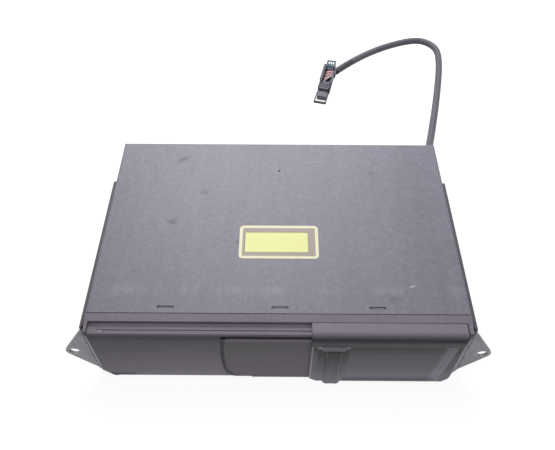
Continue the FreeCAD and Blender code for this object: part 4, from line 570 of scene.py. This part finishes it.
# painted light and shade: how pale the leaf is at each height, with painted light at its top
LEAF_LIGHT_AND_SHADE = ((leaf_low[2], 0.82), (0.03, 0.72), (0.051, 0.62), (0.0555, 0.55), (leaf_high[2], 1.3))
LEAF_SWEEP = (0.0085, 0.019)    # width and height of the sweep that its left edge ends in
SWEEP_POWER = 2.5
LEAF_BOW = 0.44             # metres; a larger one makes the left edge straighter
SHADE_LINE = (0.0012, 0.0011, 0.0016)    # the painted shade line: its middle from the edge, and its hard and soft half widths
leaf, base = handled("leaf_plastic", tone(92, 87, 94), tone(116, 110, 118), 0.5, patch=15.0)
across, back, up = leaf.parts_of(leaf.place())
base = leaf.shaded(base, leaf.level(up, *LEAF_LIGHT_AND_SHADE))
lowness = ((leaf_low[2] + LEAF_SWEEP[1] - up) / LEAF_SWEEP[1]).clamped()
bow = (up - (leaf_low[2] + leaf_high[2]) / 2) ** 2 / LEAF_BOW
edge = lowness ** SWEEP_POWER * LEAF_SWEEP[0] + bow
in_shade_line = 1 - leaf.between(abs(across - leaf_low[0] - SHADE_LINE[0] - edge), SHADE_LINE[1], SHADE_LINE[2])
at_side = 1 - leaf.between(across, leaf_low[0] + 0.004, leaf_low[0] + 0.006)
sunk = (leaf.between(back, leaf_low[1] + 0.0002, leaf_low[1] + 0.0004)
        * (1 - leaf.between(lowness, 0.1, 0.5)))
# painted shade in the sunk margin and in the line down the left edge
base = leaf.blend((sunk * at_side * 0.8 + in_shade_line * 0.9).clamped(), base, tone(30, 26, 31))
leaf.set("Base Color", base)
dress("inner_leaf", leaf.material)

# ---------------------------------------------------------------- outer door
# The sliding door is the same plastic, polished by hands. Its colour carries painted light and shade by
# height: painted shade dulls the face under the roll, and painted light makes it pale toward the foot and
# on top. Painted shade fills the hollow under the grip's ledge, painted light sits on the ledge, a
# painted sheen lies on the panel's right slope, and painted highlights run along both ends.
door_low, door_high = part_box("outer_door")
# painted light and shade: how pale the door's face is at each height
DOOR_LIGHT_AND_SHADE = ((0.001, 0.92), (0.008, 0.8), (0.023, 0.5), (0.042, 0.33), (0.0475, 0.13), (0.052, 0.05),
               (0.0555, 0.2), (0.058, 0.2), (0.0605, 0.16), (0.0622, 0.28), (0.0638, 1.0), (0.0647, 1.4))
# painted shade: how much of the colour the grip's hollow loses at each height
HOLLOW_SHADE_LEVELS = ((0.008, 0.05), (0.03, 0.35), (0.038, 0.7), (0.044, 0.95), (0.0498, 0.95), (0.0505, 0.0))
DOOR_PANEL_TOP = 0.0545
SLOPE_FOOT, SLOPE_LEAN = door_high[0] - 0.0098, 0.089      # the wide slope at the panel's right end, which carries a painted sheen
GRIP_SPAN = (door_low[0] + 0.0045, door_low[0] + 0.0253)
LEDGE_HEIGHT, LEDGE_LIGHT_LEVEL = 0.0038, 1.1     # the sloped ledge over the scoop, and the painted light on it
door, base = handled("door_plastic", tone(114, 109, 119), tone(134, 129, 140), 0.42, patch=17.0)
across, up = door.parts_of(door.place())[::2]
at_grip = (door.between(across, GRIP_SPAN[0] - 0.001, GRIP_SPAN[0] + 0.001)
           * (1 - door.between(across, GRIP_SPAN[1] - 0.001, GRIP_SPAN[1] + 0.001)))
ledge_foot = DOOR_PANEL_TOP - LEDGE_HEIGHT
# painted light on the ledge over the scoop
on_ledge = (at_grip * door.between(up, ledge_foot, ledge_foot + 0.0012)
            * (1 - door.between(up, DOOR_PANEL_TOP - 0.0002, DOOR_PANEL_TOP + 0.0003)))
# painted shade in the grip's hollow
hollow_shade = at_grip * door.level(up, *HOLLOW_SHADE_LEVELS)
amount = door.level(up, *DOOR_LIGHT_AND_SHADE) * (1 - hollow_shade)
base = door.shaded(base, amount * (1 - on_ledge) + on_ledge * LEDGE_LIGHT_LEVEL)
# a painted sheen on the panel's right slope
from_slope = across - SLOPE_FOOT - up * SLOPE_LEAN
on_face = 1 - door.between(up, DOOR_PANEL_TOP - 0.002, DOOR_PANEL_TOP + 0.001)
sheen = door.between(from_slope, -0.009, -0.002) * (1 - door.between(from_slope, 0.0, 0.0008)) * on_face
base = door.blend((sheen * 0.5).clamped(), base, tone(158, 152, 168))
# painted highlights along the door's right and left ends
right_end_highlight = door.between(across, door_high[0] - 0.0016, door_high[0] - 0.0009)
left_end_highlight = 1 - door.between(across, door_low[0] + 0.0008, door_low[0] + 0.0016)
base = door.blend(((right_end_highlight * 0.75 + left_end_highlight * 0.4) * on_face).clamped(), base, tone(190, 184, 194))
door.set("Base Color", base)
dress("outer_door", door.material)

# ---------------------------------------------------------------- cover
# One sheet, bent over the top and both sides and painted satin grey. The paint is clouded and finely
# mottled, with fingermarks, lint, darker patches round the three slots, a dusty band along the front and
# one white scratch. Painted light makes the top paler toward the back, and painted shade darkens the
# side edges and the sides.
cover_low, cover_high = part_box("top_cover")
COVER_LIGHT_LEVELS = ((0.0, 0.9), (0.5, 0.97), (1.0, 1.08))   # painted light: how pale it is from front to back
SLOTS, SLOT_BACK = (-0.075, 0.0012, 0.0658), 0.0045
SLOT_REACH = (0.0057, 0.0008)   # how far the darkening round a slot reaches, along and across it
DUST_BAND, DUST_REACH = 0.018, 0.006    # its middle from the cover's front edge, and its half width
SCRATCH = (0.0912, cover_low[1] + 0.0215)
SCRATCH_LENGTH, SCRATCH_WIDTH = 0.0022, 0.0008
# width of the painted shade along the cover's side edges
EDGE_SHADE = 0.0009

paint = Finish("satin_cover_paint", 0.46)
cloud = paint.noise(13.0, 4.0, 0.65)
mottle = paint.noise(330.0, 3.0, 0.6)
fleck = paint.noise(1150.0, 2.0, 0.6)
streak = paint.noise(70.0, 4.0, 0.65, where=paint.stretched((1.0, 0.12, 1.0)))
across, back, up = paint.parts_of(paint.place())
tint = (cloud * 0.22 + mottle * 0.28 + fleck * 0.35 + streak * 0.15 - 0.5) * 2.2 + 0.5
base = paint.blend(tint.clamped(), tone(103, 100, 115), tone(160, 156, 173))
depth = (back - cover_low[1]) / (cover_high[1] - cover_low[1])
# painted light, paler toward the back
base = paint.shaded(base, paint.level(depth, *COVER_LIGHT_LEVELS))
lint = paint.between(paint.noise(700.0, 1.0), 0.7, 0.75)
base = paint.blend(lint * 0.35, base, tone(196, 193, 202))
in_slots = 0.0
for slot in SLOTS:
    in_slots = (1 - paint.between(abs(across - slot), SLOT_REACH[0], SLOT_REACH[0] + 0.0004)) + in_slots
from_slot_row = abs(back - cover_low[1] - SLOT_BACK)
slot_dark = in_slots * (1 - paint.between(from_slot_row, SLOT_REACH[1], SLOT_REACH[1] + 0.0004))
base = paint.blend(slot_dark * 0.8, base, tone(52, 49, 56))
from_band = abs(back - (cover_low[1] + DUST_BAND))
band = (1 - paint.between(from_band, 0.0, DUST_REACH)) * paint.between(streak, 0.4, 0.62)
base = paint.blend((band * 0.22).clamped(), base, tone(186, 182, 190))
mark = paint.between(paint.noise(46.0, 3.0, 0.55), 0.66, 0.72)
base = paint.blend((mark * 0.22).clamped(), base, tone(84, 80, 90))
scuff = paint.between(paint.noise(60.0, 5.0, 0.7, where=paint.stretched((1.0, 0.22, 1.0))), 0.66, 0.73)
base = paint.blend((scuff * 0.25).clamped(), base, tone(182, 180, 188))
along = ((across - SCRATCH[0]) + (back - SCRATCH[1]) * 0.4) / SCRATCH_LENGTH
beside = ((back - SCRATCH[1]) - (across - SCRATCH[0]) * 0.35) / SCRATCH_WIDTH
on_top = paint.between(up, cover_high[2] - 0.001, cover_high[2])
scratch = (1 - paint.between(along ** 2 + beside ** 2, 0.5, 1.4)) * on_top
base = paint.blend(scratch * 0.85, base, tone(206, 204, 208))
# painted shade along the side edges, full on the sides
edge_shade = paint.between(abs(across), cover_high[0] - EDGE_SHADE, cover_high[0] - EDGE_SHADE / 3)
base = paint.blend((edge_shade * fleck * 0.8).clamped(), base, tone(88, 84, 94))
paint.set("Base Color", base)
paint.set("Roughness", ((cloud - 0.5) * 0.2 + mark * 0.1 + scuff * 0.12 + 0.44).clamped())
paint.bump(fleck * 0.6 + mottle * 0.4, 0.00005, 0.6)
dress("top_cover", paint.material)

# ---------------------------------------------------------------- screws
# Pan-head machine screws with a cross recess, zinc-plated and blackened: three hold the cover to the
# rear wall and two hold each bracket.
RECESS_ARM, RECESS_DEPTH, RECESS_WIDTH = 0.6, 0.55, 0.24     # shares of the head's radius and height
RECESS_TAPER = 0.45         # how long the recess's arms are at the bottom, against their top
black_zinc = plated("black_zinc", tone(46, 46, 50), tone(84, 84, 90), 0.36, (1.0, 1.0, 1.0), 0.6)


def pan_screw(head_radius, head_height, shank_radius, shank_length):
    """A screw along +Z with its seat at the origin."""
    dome = [(head_radius * math.cos(angle) ** 0.7, head_height * math.sin(angle))
            for angle in map(math.radians, (12, 28, 45, 62, 78))]
    shank = [(shank_radius * 0.7, -shank_length), (shank_radius, -shank_length * 0.9), (shank_radius, 0)]
    profile = shank + [(head_radius * 0.97, 0), (head_radius, head_height * 0.1)] + dome
    body = thing_from("screw_body", lathed("screw_body", profile, 28, closed=False))
    cutter = bmesh.new()
    for turn in (0, math.pi / 2):
        arm = bmesh.ops.create_cube(cutter, size=1.0)
        for corner in arm["verts"]:
            taper = 1.0 if corner.co.z > 0 else RECESS_TAPER
            corner.co.x *= 2 * RECESS_ARM * head_radius * taper
            corner.co.y *= RECESS_WIDTH * head_radius
            corner.co.z = head_height * (1.4 if corner.co.z > 0 else 1 - RECESS_DEPTH)
        bmesh.ops.rotate(cutter, verts=arm["verts"], matrix=Matrix.Rotation(turn, 3, "Z"))
    cutter_mesh = bpy.data.meshes.new("recess")
    cutter.to_mesh(cutter_mesh)
    cutter.free()
    recess = thing_from("recess", cutter_mesh)
    cut = body.modifiers.new("recess", "BOOLEAN")
    cut.operation, cut.solver, cut.use_self, cut.object = "DIFFERENCE", "EXACT", True, recess
    done = bpy.data.meshes.new_from_object(body.evaluated_get(bpy.context.evaluated_depsgraph_get()))
    bpy.data.objects.remove(body)
    bpy.data.objects.remove(recess)
    return done


def screws(name, node, mesh, placements):
    """One object for all the screws of a kind."""
    made = gathered(name, mesh, placements, 30)
    made.data.materials.append(black_zinc)
    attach(made, "case")
    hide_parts(node)


low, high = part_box("cover_screws")
COVER_HEAD, COVER_HEAD_HEIGHT, COVER_SHANK = 0.0028, 0.0016, 0.0015
cover_rows = [low[0] + COVER_HEAD, (low[0] + high[0]) / 2, high[0] - COVER_HEAD]
backward = Matrix.Rotation(-math.pi / 2, 4, "X")
screws("cover_machine_screws", "cover_screws",
       pan_screw(COVER_HEAD, COVER_HEAD_HEIGHT, COVER_SHANK, high[1] - low[1] - COVER_HEAD_HEIGHT),
       [Matrix.Translation((x, high[1] - COVER_HEAD_HEIGHT, (low[2] + high[2]) / 2)) @ backward
        @ Matrix.Rotation(index * 0.7 + 0.3, 4, "Z") for index, x in enumerate(cover_rows)])
low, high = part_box("bracket_screws")
BRACKET_HEAD, BRACKET_HEAD_HEIGHT = 0.004, 0.0022
BRACKET_SHANK, BRACKET_SHANK_LENGTH = 0.002, 0.0057
sideways = [Matrix.Rotation(side * math.pi / 2, 4, "Y") for side in (-1, 1)]
screws("bracket_machine_screws", "bracket_screws",
       pan_screw(BRACKET_HEAD, BRACKET_HEAD_HEIGHT, BRACKET_SHANK, BRACKET_SHANK_LENGTH),
       [Matrix.Translation((x, y, (low[2] + high[2]) / 2)) @ turn
        @ Matrix.Rotation(y * 30 + x * 4, 4, "Z")
        for x, turn in zip((low[0] + BRACKET_HEAD_HEIGHT, high[0] - BRACKET_HEAD_HEIGHT), sideways)
        for y in (low[1] + BRACKET_HEAD, high[1] - BRACKET_HEAD)])

# ---------------------------------------------------------------- side brackets
# Flat steel plates screwed to the sides, bent out at the front into an ear with one hole. Their grey
# coat is thin and grainy and rubbed through round the holes, and painted shade darkens the plates on the
# sides.
EAR_HOLE_OUT, EAR_HOLE_Y, EAR_HOLE_Z = 0.0135, -0.081, 0.030   # the first is from the cover's side
EAR_HOLE_RUB = 0.0058
PLATE_OUT = 0.002           # from the cover's side to the plate's outer face
coat = Finish("bracket_coat", 0.5, 0.2)
sand = coat.noise(760.0, 3.0, 0.7)
wash = coat.noise(30.0, 3.0)
across = coat.parts_of(coat.place())[0]
tint = (sand * 0.7 + wash * 0.3 - 0.5) * 2.4 + 0.5
base = coat.blend(tint.clamped(), tone(98, 95, 101), tone(172, 169, 176))
to_left, to_right = [coat.away_from((side * (cover_high[0] + EAR_HOLE_OUT), EAR_HOLE_Y, EAR_HOLE_Z))
                     for side in (-1, 1)]
rubbed = 1 - coat.between(to_left.math("MINIMUM", to_left, to_right), EAR_HOLE_RUB - 0.001, EAR_HOLE_RUB)
base = coat.blend((rubbed * sand * 0.4).clamped(), base, tone(196, 194, 198))
plate_face = cover_high[0] + PLATE_OUT
# painted shade on the plates on the sides
side_shade = 1 - coat.between(abs(across), plate_face - 0.0002, plate_face + 0.0002)
coat.set("Base Color", coat.blend(side_shade * 0.85, base, tone(58, 55, 62)))
coat.set("Roughness", (sand - 0.5) * 0.2 + 0.5)
coat.bump(sand, 0.00005, 0.7)
for node in ("left_bracket", "right_bracket"):
    dress(node, coat.material)

# ---------------------------------------------------------------- label
# A glossy film with a rounded yellow line, a grey-brown band, and a pale yellow field that is left
# blank.
label_low, label_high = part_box("blank_label")
LINE_WIDTH = 0.0022
FIELD_MARGINS = (0.0043, 0.0075, 0.0056, 0.0065)    # left, right, front and back
FIELD_LINE = 0.0006         # thin brown line round the field
PRINT_EDGE = 0.00035        # softness of a printed edge


def inside(finish, x0, x1, y0, y1):
    """1 inside a rectangle on a flat finish, with a soft printed edge."""
    share = 1.0
    for line, low, high in zip(finish.parts_of(finish.place()), (x0, y0), (x1, y1)):
        half = (high - low) / 2
        past = finish.between(abs(line - (low + high) / 2), half - PRINT_EDGE, half + PRINT_EDGE)
        share = (1 - past) * share
    return share


film = Finish("label_film", 0.3)
field_sides = (label_low[0] + FIELD_MARGINS[0], label_high[0] - FIELD_MARGINS[1],
               label_low[1] + FIELD_MARGINS[2], label_high[1] - FIELD_MARGINS[3])
grown = [side + sign * FIELD_LINE for side, sign in zip(field_sides, (-1, 1, -1, 1))]
band = inside(film, label_low[0] + LINE_WIDTH, label_high[0] - LINE_WIDTH,
              label_low[1] + LINE_WIDTH, label_high[1] - LINE_WIDTH)
fibre = film.noise(700.0, 2.0)
ink = film.blend(band, tone(255, 251, 208), tone(158, 144, 131))
ink = film.blend(inside(film, *grown), ink, tone(120, 104, 78))
ink = film.blend(inside(film, *field_sides), ink, tone(255, 255, 156))
film.set("Base Color", film.blend(fibre * 0.05, ink, tone(200, 190, 150)))
film.set("Roughness", fibre * 0.1 + 0.27)
film.bump(fibre, 0.00002, 0.3)
dress("blank_label", film.material)

# ---------------------------------------------------------------- signal cable
# A fixed cable of several cores in one soft grey jacket, dusty and slightly rippled by the cores
# under it. It leaves the rear wall through a rubber grommet and lies in one loose bend on the floor.
CABLE_DIAMETER = 0.007
CABLE_ROUTE = [
    (0.1175, 0.0832, 0.0380), (0.1195, 0.1042, 0.0380), (0.1355, 0.1222, 0.0220),
    (0.1445, 0.1482, 0.0037), (0.1630, 0.2192, 0.0036), (0.1785, 0.2922, 0.0036),
    (0.1755, 0.3172, 0.0036), (0.1535, 0.3292, 0.0036), (0.0920, 0.2992, 0.0036),
    (0.0610, 0.2672, 0.0036),
]
TAPE_LENGTH = 0.026         # of the dark tape where the cable enters the plug
TAPE_TURNS_PER_METRE = 420.0

curve = bpy.data.curves.new("cable_jacket", "CURVE")
curve.dimensions = "3D"
curve.bevel_depth = CABLE_DIAMETER / 2
curve.bevel_resolution = 8
curve.use_fill_caps = True
curve.resolution_u = 24
spline = curve.splines.new("NURBS")
spline.points.add(len(CABLE_ROUTE) - 1)
for point, place in zip(spline.points, CABLE_ROUTE):
    point.co = (*place, 1.0)
spline.order_u = 3
spline.use_endpoint_u = True
cable = thing_from("cable_jacket", curve)
jacket = Finish("cable_rubber", 0.55)
cloud = jacket.noise(60.0, 4.0, 0.65)
ripple = jacket.noise(420.0, 3.0, 0.6)
from_plug = jacket.away_from(CABLE_ROUTE[-1])
taped = 1 - jacket.between(from_plug, TAPE_LENGTH - 0.001, TAPE_LENGTH)
base = jacket.blend((cloud * 0.5 + ripple * 0.5).clamped(), tone(74, 72, 82), tone(126, 123, 136))
turns = jacket.between((from_plug * TAPE_TURNS_PER_METRE).fraction(), 0.1, 0.5)
tape = jacket.blend(turns, tone(52, 48, 58), tone(80, 76, 88))
jacket.set("Base Color", jacket.blend(taped, base, tape))
jacket.set("Roughness", ((cloud - 0.5) * 0.2 + 0.55 - taped * 0.12).clamped())
jacket.bump(ripple * (1 - taped) + turns * taped, 0.00025, 0.5)
curve.materials.append(jacket.material)
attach(cable, "case")
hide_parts("signal_cable")
dress("cable_grommet", rubber)

# ---------------------------------------------------------------- plug
# A slim moulded connector. Its wires cross an open well to four tinned contacts in a pale blue
# carrier, a comb of ribs runs down one side, and a stiff loop locks it to its socket.
PLUG_PLACE = (0.0575, 0.2807, 0.0004)   # middle of the wire end, on the floor
PLUG_TURN = math.radians(-103.5)
PLUG_HALF_WIDTH, PLUG_HEIGHT = 0.0061, 0.0112
# where each part starts or ends, along the plug
WIRE_END, WIRE_END_HALF_WIDTH = 0.0024, 0.0047
WELL_START, WELL_END = 0.012, 0.037
NECK, NECK_END = 0.0415, 0.0495
NOSE_END, NOSE_HEIGHT = 0.0602, 0.0068
LOOP_START, LOOP_END = 0.0535, 0.0708
COLLAR = (0.0112, 0.0222)
ENTRY_END = 0.0225          # the wall is open up to here, for the cable
WELL_FLOOR = 0.0034
WALL = 0.001
COMB_START, COMB_RIBS, COMB_PITCH = 0.0115, 10, 0.0026
CONTACTS, CONTACT_PITCH = 4, 0.0023
to_plug = Matrix.Translation(PLUG_PLACE) @ Matrix.Rotation(PLUG_TURN, 4, "Z")


def slab(mesh, x0, x1, y0, y1, z0, z1, bevel=0.0003, slope=0.0):
    """A bevelled bar in the plug's own frame; slope lowers its top at its far end."""
    made = bmesh.ops.create_cube(mesh, size=1.0)["verts"]
    for corner in made:
        far = corner.co.x > 0
        corner.co = Vector((x1 if far else x0, y1 if corner.co.y > 0 else y0,
                            (z1 - (slope if far else 0)) if corner.co.z > 0 else z0))
    edges = {edge for corner in made for edge in corner.link_edges}
    bmesh.ops.bevel(mesh, geom=list(edges), offset=bevel, segments=2, affect="EDGES", clamp_overlap=True)


def finished(name, mesh, material, body, nodes):
    """Closes a plug piece: its mesh in place, its finish, and what it rides on and stands for."""
    data = bpy.data.meshes.new(name)
    mesh.transform(to_plug)
    mesh.to_mesh(data)
    mesh.free()
    data.shade_smooth()
    data.set_sharp_from_angle(angle=math.radians(35))
    data.materials.append(material)
    piece = thing_from(name, data)
    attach(piece, body)
    if nodes:
        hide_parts(*nodes)
    return piece


half, narrow = PLUG_HALF_WIDTH, WIRE_END_HALF_WIDTH
shell = bmesh.new()
# floor of the well
slab(shell, WIRE_END, WELL_START + 0.002, -narrow, narrow, 0.0, WELL_FLOOR)
slab(shell, WELL_START, NECK, -half, half, 0.0, WELL_FLOOR)
# wire end and its two sides
slab(shell, WIRE_END, WIRE_END + WALL, -narrow, narrow, 0.0002, 0.0096)
for side in (-1, 1):
    y0, y1 = sorted((side * narrow, side * (narrow - WALL * 0.8)))
    slab(shell, WIRE_END, WELL_START + 0.001, y0, y1, 0.0002, 0.0102)
# wall behind the comb, wall beyond the cable's entry, and the closed end of the well
slab(shell, WELL_START, NECK, -half + 0.001, -half + 0.001 + WALL, 0.0002, PLUG_HEIGHT)
slab(shell, ENTRY_END, NECK, half - WALL, half, 0.0002, PLUG_HEIGHT)
slab(shell, WELL_END, NECK, -half, half, 0.0002, 0.0074)
# collar round the cable
slab(shell, *COLLAR, half - 0.0012, half + 0.0012, 0.0006, 0.0078, 0.0009)
# neck with its three grip bands, and the nose
neck_top = PLUG_HEIGHT - 0.0022
slab(shell, NECK - 0.0005, NECK_END + 0.002, -half + 0.0012, half - 0.0012, 0.0008, neck_top)
for step in range(3):
    start = NECK + 0.0008 + 0.0026 * step
    slab(shell, start, start + 0.0014, -half - 0.0003, half + 0.0003, 0.0004, neck_top)
slab(shell, NECK_END + 0.0005, NOSE_END, -half + 0.0009, half - 0.0009, 0.0002, NOSE_HEIGHT,
     bevel=0.0008, slope=0.0016)
moulding = Finish("plug_moulding", 0.45)
cloud = moulding.noise(240.0, 3.0)
moulding.set("Base Color", moulding.blend(cloud, tone(72, 68, 84), tone(122, 117, 136)))
moulding.set("Roughness", cloud * 0.16 + 0.38)
moulding.bump(moulding.noise(2600.0, 1.0), 0.00004, 0.5)
housing = finished("plug_shell", shell, moulding.material, "case", ["plug_housing"])

comb = bmesh.new()
for step in range(COMB_RIBS):
    start = COMB_START + COMB_PITCH * step
    slab(comb, start, start + 0.0015, -half - 0.0008, -half + 0.0012, 0.001, PLUG_HEIGHT - 0.0004, 0.0002)
comb_plastic = moulded("comb_plastic", tone(132, 128, 144), tone(170, 166, 182), 0.4)
comb_piece = finished("plug_comb", comb, comb_plastic, "case", [])

carrier = bmesh.new()
carrier_start, carrier_half = WIRE_END + WALL, narrow - WALL * 0.8
slab(carrier, carrier_start, 0.0138, -carrier_half, carrier_half, 0.0032, 0.0062)
for step in range(CONTACTS):        # a rib beside each contact
    middle = (step - (CONTACTS - 1) / 2) * CONTACT_PITCH
    slab(carrier, carrier_start + 0.0004, 0.0126, middle - 0.0004, middle + 0.0004, 0.006, 0.0092, 0.00015)
carrier_plastic = moulded("carrier_plastic", tone(112, 138, 158), tone(158, 182, 200), 0.35, patch=400.0)
carrier_piece = finished("contact_carrier", carrier, carrier_plastic, "case", [])
dress("plug_terminals", plated("tinned_contacts", tone(206, 222, 232), tone(240, 246, 250), 0.3,
                               (1.0, 1.0, 1.0), 0.4))

WIRE_RADIUS = 0.00075
WIRE_COUNT = 12
WHITE_WIRES = range(2, WIRE_COUNT, 3)
WHITE_RAISED = 0.0005       # they lie on the red ones
WIRE_STARTS = (0.0145, 0.0095)      # along the plug: where the first starts, and the spread of the rest
WIRE_ENDS = (0.0160, 0.0195)


def wire_run(index):
    """Points of one wire in the plug's frame, from the cable's end down the well."""
    share = index / (WIRE_COUNT - 1)
    raised = WHITE_RAISED if index in WHITE_WIRES else 0.0
    start = Vector((WIRE_STARTS[0] + WIRE_STARTS[1] * share, half - 0.0019, 0.0048 + raised))
    end = Vector((WIRE_ENDS[0] + WIRE_ENDS[1] * share, -half + 0.0030, 0.0050 + raised * 0.6))
    lift = Vector((0.0, 0.0, 0.0008 + 0.0004 * (index % 2)))
    return [start, start.lerp(end, 0.35) + lift, start.lerp(end, 0.7) + lift * 0.8, end]


def wire_bundle(name, dark, light, indices):
    """One object for all the wires of a colour."""
    curves = bpy.data.curves.new(name, "CURVE")
    curves.dimensions = "3D"
    curves.bevel_depth = WIRE_RADIUS
    curves.bevel_resolution = 3
    curves.resolution_u = 8
    curves.use_fill_caps = True
    for index in indices:
        line = curves.splines.new("NURBS")
        line.points.add(3)
        for point, place in zip(line.points, wire_run(index)):
            point.co = (*(to_plug @ place), 1.0)
        line.order_u = 4
        line.use_endpoint_u = True
    curves.materials.append(moulded(name, dark, light, 0.38, patch=300.0))
    bundle = thing_from(name, curves)
    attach(bundle, "case")
    return bundle


red_wires = wire_bundle("red_wires", tone(104, 26, 46), tone(180, 42, 62),
                        [index for index in range(WIRE_COUNT) if index not in WHITE_WIRES])
white_wires = wire_bundle("white_wires", tone(228, 218, 222), tone(250, 244, 244), WHITE_WIRES)
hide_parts("plug_wires")

loop = bmesh.new()
leg_inner = half - 0.0008
leg_outer = leg_inner + 0.0011
for side in (-1, 1):
    y0, y1 = sorted((side * leg_inner, side * leg_outer))
    slab(loop, LOOP_START, LOOP_END - 0.0004, y0, y1, 0.0046, 0.0064, 0.0004)
slab(loop, LOOP_END - 0.0022, LOOP_END, -leg_outer, leg_outer, 0.0044, 0.0066, 0.0005)
loop_plastic = moulded("loop_plastic", tone(44, 42, 50), tone(78, 75, 86), 0.42)
lever = finished("lock_loop", loop, loop_plastic, "plug_lever", ["plug_lever"])
